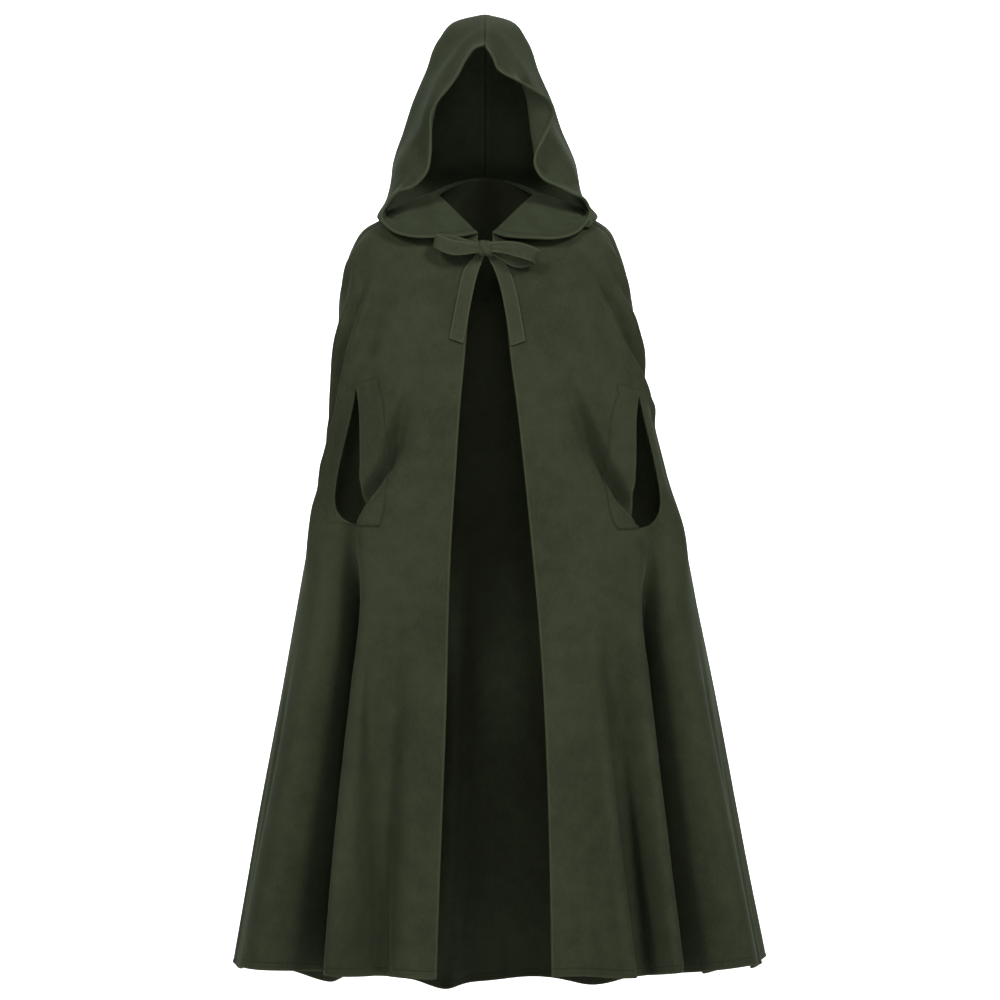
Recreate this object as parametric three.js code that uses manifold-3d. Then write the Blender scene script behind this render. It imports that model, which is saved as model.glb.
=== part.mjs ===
import * as THREE from "three";
import Module from "manifold-3d";

const wasm = await Module();
wasm.setup();
const { Manifold, Mesh } = wasm;

// Hooded wool cloak, as worn. Millimetres, Z up, front faces -Y.
// The origin is the centre of the neck opening at side-neck height.
// Side -1 is the wearer's right (-X), side 1 the wearer's left (+X).

const clothThickness = 2.0;
const weltThickness = 1.6;
const strapThickness = 2.0;
const strapWidth = 24;
const knotHalf = [14, 11, 14];
const seamGap = 0.3;
const neckGap = 0.6;
const hemRun = 1410;
const seamAngle = 97;
const weltWidth = 50;
const degrees = Math.PI / 180;

function table(columns, rows) {
  return rows.map((row) => Object.fromEntries(columns.map((name, i) => [name, row[i]])));
}

// One row for each ring of the cape, from the neckline to the hem: distance run down the
// cloth, half widths, depths before and behind, heights, squareness, front edges.
const rings = table(
  ["run", "right", "left", "front", "back", "sideZ", "frontZ", "backZ", "squareF", "squareB", "edgeR", "edgeL"],
  [
    [0, 82, 84, 88, 62, 0, -84, 32, 0, 0, 13, 14],
    [52, 130, 132, 101, 80, -20, -112, 4, 0.03, 0.03, 13, 16],
    [106, 179, 187, 111, 95, -44, -140, -30, 0.07, 0.07, 16, 23],
    [140, 207, 211, 117, 105, -61, -165, -62, 0.09, 0.09, 20, 28],
    [180, 227, 227, 124, 114, -95, -190, -104, 0.1, 0.1, 24, 32],
    [248, 242, 245, 135, 124, -161, -235, -180, 0.12, 0.1, 30, 38],
    [318, 247, 252, 143, 131, -230, -285, -255, 0.16, 0.09, 34, 43],
    [420, 246, 267, 147, 138, -331, -365, -360, 0.2, 0.07, 41, 53],
    [557, 267, 302, 150, 150, -467, -485, -495, 0.18, 0.06, 49, 66],
    [697, 301, 341, 156, 165, -603, -612, -635, 0.12, 0.05, 57, 79],
    [802, 320, 361, 162, 178, -705, -712, -740, 0.06, 0.05, 61, 89],
    [940, 344, 385, 172, 198, -841, -845, -880, 0.05, 0.05, 64, 98],
    [1147, 377, 417, 188, 228, -1045, -1047, -1090, 0.05, 0.05, 71, 106],
    [1285, 400, 440, 198, 248, -1181, -1183, -1235, 0.05, 0.05, 76, 109],
    [1410, 421, 464, 206, 266, -1304, -1310, -1361, 0.05, 0.05, 80, 111],
  ],
);

// Arm slits: where each starts and ends, its line in degrees, and how far it gapes.
const slits = table(
  ["side", "top", "end", "topAngle", "endAngle", "hemAngle", "frontGap", "rearGap"],
  [
    [-1, 416, 650, 47.5, 40.4, 42.5, 2, 17],
    [1, 426, 656, 54.5, 44.2, 46, 4, 14],
  ],
);

// Folds: first run, growth, last run, fade, angle at first and last, bend of the line,
// width ahead and behind in degrees, height (minus for a valley).
const folds = table(
  ["side", "from", "grow", "to", "fade", "at", "toAngle", "bend", "ahead", "behind", "height"],
  [
    // right shoulder and arm
    [-1, 130, 80, 320, 120, 62, 80, 1, 7, 3.5, 7],
    [-1, 180, 120, 590, 120, 46, 88, 1, 9, 4, 12],
    [-1, 150, 90, 420, 90, 31, 40, 1, 6, 5, 5],
    [-1, 400, 130, 625, 50, 29, 48, 1.7, 3.5, 4, -14],
    [-1, 520, 120, 800, 200, 66, 64, 1, 6, 8, 12],
    // right skirt: deep valley, crest before it, shallow valley, edge, side swell
    [-1, 540, 420, 1410, 0, 44.5, 42.5, 1, 4.5, 6, -122],
    [-1, 560, 800, 1410, 0, 37, 34.5, 1, 7, 5, 40],
    [-1, 700, 600, 1410, 0, 27, 25, 1, 4, 4.5, -44],
    [-1, 760, 650, 1410, 0, 17, 15.5, 1, 5, 4, 12],
    [-1, 700, 700, 1410, 0, 58, 58, 1, 7, 14, 30],
    // left shoulder and arm
    [1, 125, 80, 320, 120, 58, 78, 1.2, 7, 3.5, 7],
    [1, 190, 110, 450, 110, 46, 88, 1.2, 9, 4, 12],
    [1, 160, 90, 430, 90, 32, 49, 1, 6, 5, 6],
    [1, 380, 150, 640, 50, 30, 53, 1.5, 4.5, 4.5, -18],
    [1, 560, 120, 850, 220, 66, 64, 1, 6, 8, 10],
    // left skirt
    [1, 560, 480, 1410, 0, 49.5, 47.5, 1, 4.5, 5, -104],
    [1, 600, 800, 1410, 0, 42, 40.5, 1, 4.5, 4, 34],
    [1, 720, 600, 1410, 0, 35, 34.5, 1, 2.6, 4, -44],
    [1, 700, 700, 1410, 0, 30, 29.5, 1, 7, 3.2, 30],
    [1, 700, 700, 1410, 0, 62, 60, 1, 7, 10, 42],
    // back, from the right side seam round to the left
    [-1, 420, 950, 1410, 0, 104, 104, 1, 8, 8, -34],
    [-1, 380, 950, 1410, 0, 123, 121, 1, 8, 8, 34],
    [-1, 350, 980, 1410, 0, 141, 138, 1, 7, 7, -52],
    [-1, 420, 950, 1410, 0, 157, 154, 1, 7, 7, 30],
    [-1, 420, 850, 1410, 0, 172, 170, 1, 5, 4.5, -62],
    [1, 420, 950, 1410, 0, 174, 173, 1, 8, 8, 24],
    [1, 380, 950, 1410, 0, 157, 155, 1, 7, 7, -46],
    [1, 350, 980, 1410, 0, 140, 138, 1, 8, 8, 36],
    [1, 400, 950, 1410, 0, 122, 121, 1, 7, 7, -48],
    [1, 450, 950, 1410, 0, 105, 105, 1, 7, 7, 28],
  ],
);

// A smooth cubic through one column of a table.
function through(rows, knot, column, at) {
  const last = rows.length - 1;
  const x = Math.min(Math.max(at, rows[0][knot]), rows[last][knot]);
  let i = 0;
  while (i < last - 1 && rows[i + 1][knot] <= x) {
    i += 1;
  }
  const secant = (k) => (rows[k + 1][column] - rows[k][column]) / (rows[k + 1][knot] - rows[k][knot]);
  const slope = (k) => {
    if (k === 0) {
      return secant(0);
    }
    if (k === last) {
      return secant(last - 1);
    }
    const before = rows[k][knot] - rows[k - 1][knot];
    const after = rows[k + 1][knot] - rows[k][knot];
    return (secant(k - 1) * after + secant(k) * before) / (before + after);
  };
  const h = rows[i + 1][knot] - rows[i][knot];
  const t = (x - rows[i][knot]) / h;
  const keep = 1 - t;
  return (
    (1 + 2 * t) * keep * keep * rows[i][column] +
    t * keep * keep * h * slope(i) +
    t * t * (3 - 2 * t) * rows[i + 1][column] -
    t * t * keep * h * slope(i + 1)
  );
}

function ramp(t) {
  const x = Math.min(Math.max(t, 0), 1);
  return x * x * (3 - 2 * x);
}

function ring(column, run) {
  return through(rings, "run", column, run);
}

// The cape without folds: an oval ring whose height falls from the sides to front and back.
function capeBase(side, angle, run) {
  const s = Math.sin(angle * degrees);
  const c = Math.cos(angle * degrees);
  const width = ring(side < 0 ? "right" : "left", run);
  const depth = ring(c > 0 ? "front" : "back", run);
  const end = ring(c > 0 ? "frontZ" : "backZ", run);
  const sideZ = ring("sideZ", run);
  const square = ring(c > 0 ? "squareF" : "squareB", run);
  const full = 1 + square * Math.sin(2 * angle * degrees) ** 2;
  return new THREE.Vector3(
    side * width * s * full,
    -depth * c * full,
    sideZ + (end - sideZ) * (1 - Math.abs(s) ** (c > 0 ? 1 : 2 + ramp(run / hemRun))),
  );
}

function foldHeight(side, angle, run) {
  let total = 0;
  for (const fold of folds) {
    const here = fold.side === side ? angle : 360 - angle;
    const share = Math.min(Math.max((run - fold.from) / (fold.to - fold.from), 0), 1);
    const off = here - (fold.at + (fold.toAngle - fold.at) * share ** fold.bend);
    const width = off < 0 ? fold.ahead : fold.behind;
    let strength = ramp((run - fold.from) / fold.grow);
    if (fold.fade > 0) {
      strength *= 1 - ramp((run - fold.to + fold.fade) / fold.fade);
    }
    total += fold.height * strength * Math.exp(-((off / width) ** 2));
  }
  return total;
}

function outward(side, surface, angle, run) {
  const step = 0.05;
  const across = surface(side, angle + step, run).sub(surface(side, angle - step, run));
  const down = surface(side, angle, run + step).sub(surface(side, angle, run - step));
  return across.cross(down).multiplyScalar(-side).normalize();
}

function cape(side, angle, run) {
  const normal = outward(side, capeBase, angle, Math.max(run, 0.1));
  return capeBase(side, angle, run).addScaledVector(normal, foldHeight(side, angle, run));
}

// A point of the cloth moved off it along its own normal.
function layer(side, angle, run, out) {
  const level = Math.min(Math.max(run, 0.1), hemRun - 0.1);
  return cape(side, angle, run).addScaledVector(outward(side, cape, angle, level), out);
}

function anglePerMillimetre(side, angle, run) {
  return 0.2 / cape(side, angle + 0.1, run).distanceTo(cape(side, angle - 0.1, run));
}

function slitLine(slit, run) {
  const share = Math.min(Math.max((run - slit.top) / (slit.end - slit.top), 0), 1);
  const below = ramp((run - slit.end) / 250);
  const line = slit.topAngle + (slit.endAngle - slit.topAngle) * share;
  return line + (slit.hemAngle - slit.endAngle) * below;
}

function slitGape(slit, run) {
  const share = Math.min(Math.max((run - slit.top) / (slit.end - slit.top), 0), 1);
  return {
    front: slit.frontGap * (1 - (2 * share - 1) ** 4),
    rear: slit.rearGap * share ** 1.2 * Math.sqrt(1 - share ** 4),
  };
}

function frontEdgeAngle(side, run) {
  const reach = ring(side < 0 ? "edgeR" : "edgeL", run) / ring(side < 0 ? "right" : "left", run);
  return Math.asin(reach) / degrees;
}

function slitOf(side) {
  return slits.find((slit) => slit.side === side);
}

// Places from 0 to 1 between two bounds: mostly even along the hem, and partly in angle.
function evenPlaces(side, bounds, count) {
  const fine = 300;
  const [start, stop] = bounds(hemRun);
  const lengths = [0];
  let before = cape(side, start, hemRun);
  for (let i = 1; i <= fine; i += 1) {
    const next = cape(side, start + ((stop - start) * i) / fine, hemRun);
    lengths.push(lengths[i - 1] + next.distanceTo(before));
    before = next;
  }
  const places = [];
  let k = 0;
  for (let i = 0; i <= count; i += 1) {
    const goal = i / count;
    const mixed = (j) => (0.7 * lengths[j]) / lengths[fine] + (0.3 * j) / fine;
    while (k < fine - 1 && mixed(k + 1) < goal) {
      k += 1;
    }
    const part = (goal - mixed(k)) / (mixed(k + 1) - mixed(k));
    places.push(Math.min(Math.max((k + part) / fine, 0), 1));
  }
  return places;
}

// A net of points and outward normals; nets can be welded where their points agree.
class Net {
  constructor() {
    this.points = [];
    this.normals = [];
    this.faces = [];
    this.known = new Map();
  }

  add(point, normal) {
    const key = point.toArray().map((value) => value.toFixed(4)).join(" ");
    if (!this.known.has(key)) {
      this.known.set(key, this.points.length);
      this.points.push(point);
      this.normals.push(normal);
    }
    return this.known.get(key);
  }

  // Rows and columns of places; flip turns the faces round.
  grid(rowCount, columnCount, at, flip) {
    const index = [];
    for (let i = 0; i <= rowCount; i += 1) {
      const line = [];
      for (let j = 0; j <= columnCount; j += 1) {
        const [point, normal] = at(i, j);
        line.push(this.add(point, normal));
      }
      index.push(line);
    }
    for (let i = 0; i < rowCount; i += 1) {
      for (let j = 0; j < columnCount; j += 1) {
        const [a, b] = [index[i][j], index[i + 1][j]];
        const [c, d] = [index[i + 1][j + 1], index[i][j + 1]];
        const shortBd = this.points[b].distanceTo(this.points[d]) < this.points[a].distanceTo(this.points[c]);
        const pair = shortBd ? [[a, b, d], [b, c, d]] : [[a, b, c], [a, c, d]];
        for (const face of pair) {
          if (new Set(face).size === 3) {
            this.faces.push(flip ? [face[0], face[2], face[1]] : face);
          }
        }
      }
    }
    return this;
  }

  // Normals from the faces, each weighted by its area.
  ownNormals() {
    this.normals = this.points.map(() => new THREE.Vector3());
    for (const [a, b, c] of this.faces) {
      const ab = this.points[b].clone().sub(this.points[a]);
      const ac = this.points[c].clone().sub(this.points[a]);
      const normal = ab.cross(ac);
      for (const corner of [a, b, c]) {
        this.normals[corner].add(normal);
      }
    }
    for (const normal of this.normals) {
      normal.normalize();
    }
    return this;
  }

  // The closed wall that has this net in its middle, or lies off it by the lift.
  solid(thickness, lift = 0) {
    const count = this.points.length;
    const corners = [];
    for (const out of [lift + thickness / 2, lift - thickness / 2]) {
      this.points.forEach((point, i) => {
        corners.push(point.clone().addScaledVector(this.normals[i], out));
      });
    }
    const triangles = [];
    const open = new Map();
    for (const [a, b, c] of this.faces) {
      triangles.push([a, b, c], [a + count, c + count, b + count]);
      for (const [from, to] of [[a, b], [b, c], [c, a]]) {
        if (!open.delete(`${to} ${from}`)) {
          open.set(`${from} ${to}`, [from, to]);
        }
      }
    }
    for (const [from, to] of open.values()) {
      triangles.push([from, from + count, to + count], [from, to + count, to]);
    }
    return [corners, triangles];
  }
}

const cloak = new THREE.Group();
cloak.name = "hooded_cloak";

function addPiece(name, [corners, triangles], colour, roughness) {
  const geometry = new THREE.BufferGeometry();
  geometry.setAttribute(
    "position",
    new THREE.Float32BufferAttribute(corners.flatMap((corner) => corner.toArray()), 3),
  );
  geometry.setIndex(triangles.flat());
  geometry.computeVertexNormals();
  const material = new THREE.MeshStandardMaterial({ color: colour, roughness, metalness: 0 });
  const mesh = new THREE.Mesh(geometry, material);
  mesh.name = name;
  cloak.add(mesh);
}

// Runs of the rows of all panels; each slit's ends lie on rows.
function panelRuns(slit) {
  const stretches = [
    [0, 140, 5],
    [140, 318, 5],
    [318, slit.top, 3],
    [slit.top, slit.end, 9],
    [slit.end, 940, 6],
    [940, hemRun, 7],
  ];
  const runs = [0];
  for (const [from, to, steps] of stretches) {
    for (let i = 1; i <= steps; i += 1) {
      runs.push(from + ((to - from) * i) / steps);
    }
  }
  return runs;
}

function panelNet(net, side, runs, places, bounds) {
  return net.grid(
    runs.length - 1,
    places.length - 1,
    (i, j) => {
      const [start, stop] = bounds(runs[i]);
      const angle = start + (stop - start) * places[j];
      const level = Math.min(Math.max(runs[i], 0.1), hemRun - 0.1);
      return [cape(side, angle, runs[i]), outward(side, cape, angle, level)];
    },
    side < 0,
  );
}

// Degrees taken by a length across the unfolded ring.
function degreesAcross(side, angle, run, length) {
  const chord = capeBase(side, angle + 0.5, run).distanceTo(capeBase(side, angle - 0.5, run));
  return length / chord;
}

// The stretches of a front panel: face, band under the welt, and the part behind the slit.
function frontBounds(side) {
  const slit = slitOf(side);
  const weltLine = (run) => {
    const line = slitLine(slit, run);
    return line - slitGape(slit, run).front - degreesAcross(side, line - 5, run, weltWidth);
  };
  return {
    face: (run) => [frontEdgeAngle(side, run), weltLine(run)],
    band: (run) => [weltLine(run), slitLine(slit, run) - slitGape(slit, run).front],
    rear: (run) => [
      slitLine(slit, run) + slitGape(slit, run).rear,
      seamAngle - (anglePerMillimetre(side, seamAngle, run) * seamGap) / 2,
    ],
  };
}

const bandPlaces = [0, 0.3, 0.65, 1];

function frontPanel(side) {
  const runs = panelRuns(slitOf(side));
  const net = new Net();
  const { face, band, rear } = frontBounds(side);
  panelNet(net, side, runs, evenPlaces(side, face, 12), face);
  panelNet(net, side, runs, bandPlaces, band);
  panelNet(net, side, runs, evenPlaces(side, rear, 10), rear);
  return net.solid(clothThickness);
}

// The back panel runs round from one side seam to the other.
function backPanel() {
  const net = new Net();
  for (const side of [-1, 1]) {
    const bounds = (run) => [
      seamAngle + (anglePerMillimetre(side, seamAngle, run) * seamGap) / 2,
      180,
    ];
    panelNet(net, side, panelRuns(slitOf(side)), evenPlaces(side, bounds, 12), bounds);
  }
  return net.solid(clothThickness);
}

// A welt is the front panel's own band beside the slit, moved out.
function slitWelt(side) {
  const slit = slitOf(side);
  const runs = panelRuns(slit).filter((run) => run > slit.top - 1 && run < slit.end + 1);
  const net = new Net();
  panelNet(net, side, runs, bandPlaces, frontBounds(side).band);
  return net.solid(weltThickness, clothThickness / 2 + seamGap + weltThickness / 2);
}

// Front edge of each hood half, from the neck to the peak, and the line just behind it.
const hoodEdges = {
  "-1": table(
    ["up", "x", "y", "z", "lipX", "lipY", "lipZ"],
    [
      [0, 13, -88, -70, 22, -84, -62],
      [0.05, 40, -110, -76, 44, -98, -60],
      [0.12, 85, -116, -78, 78, -100, -58],
      [0.18, 125, -112, -76, 116, -94, -62],
      [0.24, 158, -94, -64, 148, -76, -52],
      [0.29, 174, -74, -42, 170, -52, -36],
      [0.34, 163, -74, -18, 167, -50, -18],
      [0.38, 148, -84, -1, 156, -62, -2],
      [0.43, 119, -94, 9, 134, -74, 18],
      [0.48, 98, -98, 32, 112, -80, 38],
      [0.53, 92, -96, 58, 102, -78, 62],
      [0.6, 91, -97, 98, 92, -80, 100],
      [0.67, 90, -101, 130, 86, -84, 128],
      [0.72, 81, -105, 149, 82, -86, 146],
      [0.8, 62, -110, 172, 68, -92, 172],
      [0.86, 46, -113, 194, 54, -96, 196],
      [0.92, 32, -115, 220, 38, -99, 224],
      [0.96, 18, -116, 238, 20, -101, 246],
      [1, 0, -117, 245, 0, -103, 252],
    ],
  ),
  "1": table(
    ["up", "x", "y", "z", "lipX", "lipY", "lipZ"],
    [
      [0, 14, -88, -70, 22, -84, -62],
      [0.05, 36, -108, -77, 44, -96, -60],
      [0.12, 84, -116, -80, 78, -100, -58],
      [0.18, 125, -112, -79, 116, -94, -62],
      [0.24, 158, -88, -66, 148, -74, -52],
      [0.29, 176, -66, -42, 172, -50, -36],
      [0.33, 176, -62, -26, 172, -44, -22],
      [0.36, 168, -72, -12, 164, -52, -8],
      [0.4, 149, -84, -3, 150, -62, 0],
      [0.44, 124, -91, 9, 128, -70, 14],
      [0.48, 103, -96, 18, 108, -74, 26],
      [0.52, 91, -98, 30, 96, -76, 38],
      [0.56, 84, -96, 47, 88, -76, 52],
      [0.6, 87, -93, 66, 83, -74, 70],
      [0.64, 100, -88, 91, 80, -70, 92],
      [0.68, 113, -84, 118, 79, -68, 116],
      [0.72, 117, -84, 134, 78, -70, 138],
      [0.77, 108, -93, 154, 74, -76, 160],
      [0.83, 74, -108, 175, 60, -90, 184],
      [0.88, 51, -112, 187, 48, -97, 200],
      [0.92, 31, -115, 197, 36, -100, 214],
      [0.95, 21, -116, 206, 26, -101, 226],
      [0.975, 13, -117, 225, 14, -102, 240],
      [1, 0, -117, 245, 0, -103, 252],
    ],
  ),
};

// Where the hood lies on the shoulders: for each line round it, the angle and the reach.
const hoodFloor = table(
  ["around", "angle", "reach"],
  [
    [0.2, 58, 112],
    [0.38, 92, 105],
    [0.68, 140, 66],
    [1, 180, 34],
  ],
);

// The hood above the shoulders: how much slimmer its left half is, then cheek, side, back
// and centre seam.
const hoodBody = table(
  [
    "up", "slim", "cheekX", "cheekY", "cheekZ", "sideX", "sideY", "sideZ",
    "backX", "backY", "backZ", "seamY", "seamZ",
  ],
  [
    [0.36, 0, 164, -30, -10, 166, 12, -4, 118, 98, 22, 118, 66],
    [0.48, 0.02, 140, -48, 48, 157, 12, 55, 110, 100, 80, 130, 110],
    [0.6, 0.055, 112, -50, 104, 137, 8, 108, 98, 92, 130, 128, 152],
    [0.72, 0.065, 98, -52, 150, 120, 4, 158, 84, 82, 176, 118, 192],
    [0.82, 0.085, 80, -56, 194, 100, 0, 208, 68, 70, 218, 106, 226],
    [0.91, 0.1, 54, -64, 234, 78, -6, 262, 46, 58, 252, 94, 248],
    [0.96, 0.1, 30, -73, 262, 50, -14, 292, 28, 52, 278, 88, 258],
    [1, 0, 0, -82, 274, 0, -22, 304, 0, 42, 291, 80, 267],
  ],
);

const hoodFloorTop = 0.28;
const hoodLift = 7;
const hoodRest = 4;

function hoodLine(side, place, names) {
  const floor = hoodFloor.find((row) => row.around === place);
  const rows = [0, 0.5, 1].map((share) => {
    const out = clothThickness + seamGap + hoodLift * share ** 0.5;
    const point = layer(side, floor.angle, floor.reach * share, out);
    return { up: hoodFloorTop * share, x: Math.abs(point.x), y: point.y, z: point.z };
  });
  for (const row of hoodBody) {
    const x = names[0] ? row[names[0]] * (side > 0 ? 1 - row.slim : 1) : 0;
    rows.push({ up: row.up, x, y: row[names[1]], z: row[names[2]] });
  }
  return rows;
}

function hoodSurface(side) {
  const edge = hoodEdges[side];
  const lip = edge.map((row) => ({ up: row.up, x: row.lipX, y: row.lipY, z: row.lipZ }));
  const lines = [
    [0, edge],
    [0.07, lip],
    [0.2, hoodLine(side, 0.2, ["cheekX", "cheekY", "cheekZ"])],
    [0.38, hoodLine(side, 0.38, ["sideX", "sideY", "sideZ"])],
    [0.68, hoodLine(side, 0.68, ["backX", "backY", "backZ"])],
    [1, hoodLine(side, 1, ["", "seamY", "seamZ"])],
  ];
  const patch = (up, around) => {
    const section = lines.map(([place, rows]) => ({
      around: place,
      x: through(rows, "up", "x", up),
      y: through(rows, "up", "y", up),
      z: through(rows, "up", "z", up),
    }));
    return new THREE.Vector3(
      side * through(section, "around", "x", around),
      through(section, "around", "y", around),
      through(section, "around", "z", around),
    );
  };
  const neckline = (around) => {
    const start = frontEdgeAngle(side, 0);
    return layer(side, start + (180 - start) * around, 0, clothThickness + neckGap);
  };
  return (up, around) => {
    const fade = Math.max(0, 1 - up / (hoodFloorTop / 2)) ** 2;
    const shift = neckline(around).sub(patch(0, around)).multiplyScalar(fade);
    return patch(up, around).add(shift);
  };
}

// The hood rests on the cape: a point nearer to it than the given distance is lifted off.
function restOnCape(side, point, distance) {
  const angleAt = (run) => {
    const width = ring(side < 0 ? "right" : "left", run);
    const depth = ring(point.y < 0 ? "front" : "back", run);
    return Math.atan2(Math.abs(point.x) / width, -point.y / depth) / degrees;
  };
  let best = 0;
  let nearest = Infinity;
  for (let step = 24; step > 0.5; step /= 2) {
    const centre = best;
    for (let k = nearest === Infinity ? 0 : -2; k <= (nearest === Infinity ? 10 : 2); k += 1) {
      const run = Math.min(Math.max(centre + k * step, 0), 260);
      const gap = cape(side, angleAt(run), run).distanceTo(point);
      if (gap < nearest) {
        nearest = gap;
        best = run;
      }
    }
  }
  const angle = angleAt(best);
  const normal = outward(side, cape, angle, Math.max(best, 0.1));
  const height = point.clone().sub(cape(side, angle, best)).dot(normal);
  if (height < distance) {
    point.addScaledVector(normal, distance - height);
  }
  return point;
}

const hoodUps = [
  0, 0.035, 0.07, 0.115, 0.16, 0.205, 0.25, 0.28, 0.31, 0.345, 0.39, 0.44, 0.49, 0.54, 0.59, 0.64,
  0.69, 0.74, 0.79, 0.84, 0.89, 0.93, 0.965, 1,
];
const hoodArounds = [
  0, 0.035, 0.07, 0.11, 0.155, 0.2, 0.26, 0.32, 0.38, 0.45, 0.52, 0.6, 0.68, 0.76, 0.84, 0.92, 1,
];

function hoodHalf(side) {
  const surface = hoodSurface(side);
  const net = new Net().grid(
    hoodUps.length - 1,
    hoodArounds.length - 1,
    (i, j) => {
      const point = surface(hoodUps[i], hoodArounds[j]);
      const rise = clothThickness + neckGap + hoodRest * ramp(hoodUps[i] / 0.05);
      return [hoodUps[i] > 0 && point.z < 60 ? restOnCape(side, point, rise) : point, null];
    },
    side > 0,
  );
  net.ownNormals();
  const seamX = (side * seamGap) / 2;
  net.points.forEach((point, i) => {
    if (Math.abs(point.x) < 0.01) {
      point.x = seamX;
      net.normals[i].x = 0;
      net.normals[i].normalize();
    }
  });
  return net.solid(clothThickness);
}

// A strap follows stations: centre, then the direction of its width in the X-Z plane and depth.
const strapColumns = ["x", "y", "z", "lean", "slope", "width"];

function strap(rows, steps) {
  const stations = rows.map((row, i) => ({ at: i, ...row }));
  const last = stations.length - 1;
  const across = 4;
  const net = new Net().grid(
    steps,
    across,
    (i, j) => {
      const at = (last * i) / steps;
      const value = (name) => through(stations, "at", name, at);
      const lean = value("lean") * degrees;
      const slope = value("slope") * degrees;
      const reach = value("width") * (j / across - 0.5);
      const direction = new THREE.Vector3(
        Math.sin(lean) * Math.cos(slope),
        Math.sin(slope),
        Math.cos(lean) * Math.cos(slope),
      );
      const centre = new THREE.Vector3(value("x"), value("y"), value("z"));
      return [centre.addScaledVector(direction, reach), null];
    },
    false,
  );
  return net.ownNormals().solid(strapThickness);
}

const loopRight = table(strapColumns, [
  [-8, -127, -96.9, -3, 4, 15],
  [-21.3, -131, -97.1, -3, 4, 18],
  [-36.3, -135, -97.3, -2, 2, 22],
  [-53, -138, -96.7, 2, 0, strapWidth],
  [-68.1, -138, -91.6, 9, -4, strapWidth],
  [-79.3, -134.5, -86.4, 13, -6, 22],
  [-83.2, -129.5, -84.2, 13, -6, 21],
  [-78.3, -125, -83.9, 9, -4, 21],
  [-63.2, -122.5, -85.4, 1, 0, 21],
  [-44.8, -121.5, -88.2, -4, 0, 20],
  [-26.4, -120, -92.3, -6, 0, 18],
  [-9.7, -118, -95.6, -6, 0, 15],
]);

const loopLeft = table(strapColumns, [
  [8.8, -127, -95.2, 5, 5, 15],
  [22.2, -131, -95.4, 5, 5, 18],
  [37.2, -138, -96.7, 8, 6, 21],
  [55.5, -144, -100.3, 14, 6, strapWidth],
  [72.2, -146, -105.4, 20, 4, strapWidth],
  [83.9, -142.5, -110.3, 24, 0, 22],
  [87.3, -136, -113.3, 24, -4, 22],
  [82.4, -129.5, -115.4, 22, -8, 22],
  [65.7, -126, -117.8, 14, -10, strapWidth],
  [45.6, -124, -116, 2, -8, 22],
  [28.8, -121, -109.1, -8, -4, 18],
  [10.4, -118.5, -99.8, -10, 0, 15],
]);

const tailRight = table(strapColumns, [
  [-7, -116, -106.4, -64, 4, 12],
  [-12.2, -115.5, -116.4, -67, 4, 15],
  [-18.9, -117, -126.5, -73, 4, 20],
  [-25.6, -121.5, -141.8, -76, 4, strapWidth],
  [-32.2, -128, -170.6, -78, 3, strapWidth],
  [-40.5, -138.5, -214.5, -77, 2, strapWidth],
  [-47.4, -145, -252.3, -70, 2, strapWidth],
]);

const tailLeft = table(strapColumns, [
  [9.8, -116, -106.4, 64, 4, 12],
  [16.3, -115, -115.5, 64, 4, 15],
  [24.7, -116.5, -126.5, 70, 4, 20],
  [32.7, -121, -143.5, 75, 4, 23],
  [40.6, -128, -170.6, 78, 3, strapWidth],
  [48.9, -138.5, -214.5, 79, 2, strapWidth],
  [55.9, -145.5, -256.5, 71, 2, strapWidth],
]);

const rootRight = table(strapColumns, [
  [-17, -99.5, -87, 0, 0, 12],
  [-14, -105, -89, 0, 0, 12],
  [-6, -115, -94, 0, 0, 12],
]);

const rootLeft = table(strapColumns, [
  [17.5, -100, -88, 0, 0, 12],
  [14, -105, -90, 0, 0, 12],
  [6, -115, -95, 0, 0, 12],
]);

// The knot: strap drawn tight into a rounded lump, a little wider across its middle.
function knot(grow = 0) {
  const rows = 10;
  const columns = 16;
  const corners = [];
  const triangles = [];
  const centre = new THREE.Vector3(0.4, -122, -97);
  const soft = (value, power) => Math.sign(value) * Math.abs(value) ** power;
  for (let i = 1; i < rows; i += 1) {
    const rise = (i / rows - 0.5) * Math.PI;
    for (let j = 0; j < columns; j += 1) {
      const turn = (j / columns) * 2 * Math.PI;
      corners.push(
        new THREE.Vector3(
          (knotHalf[0] + grow) * soft(Math.cos(rise), 0.6) * soft(Math.cos(turn), 0.8),
          (knotHalf[1] + grow) * soft(Math.cos(rise), 0.6) * soft(Math.sin(turn), 0.8),
          (knotHalf[2] + grow) * soft(Math.sin(rise), 0.8),
        ).add(centre),
      );
    }
  }
  const pole = new THREE.Vector3(0, 0, knotHalf[2] + grow);
  const low = corners.push(centre.clone().sub(pole)) - 1;
  const high = corners.push(centre.clone().add(pole)) - 1;
  for (let j = 0; j < columns; j += 1) {
    const next = (j + 1) % columns;
    triangles.push([low, next, j]);
    const top = (rows - 2) * columns;
    triangles.push([high, top + j, top + next]);
    for (let i = 0; i < rows - 2; i += 1) {
      const [a, b] = [i * columns + j, i * columns + next];
      triangles.push([a, b, b + columns], [a, b + columns, a + columns]);
    }
  }
  return [corners, triangles];
}

function toManifold([corners, triangles]) {
  const mesh = new Mesh({
    numProp: 3,
    vertProperties: new Float32Array(corners.flatMap((corner) => corner.toArray())),
    triVerts: new Uint32Array(triangles.flat()),
  });
  mesh.merge();
  return new Manifold(mesh);
}

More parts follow.
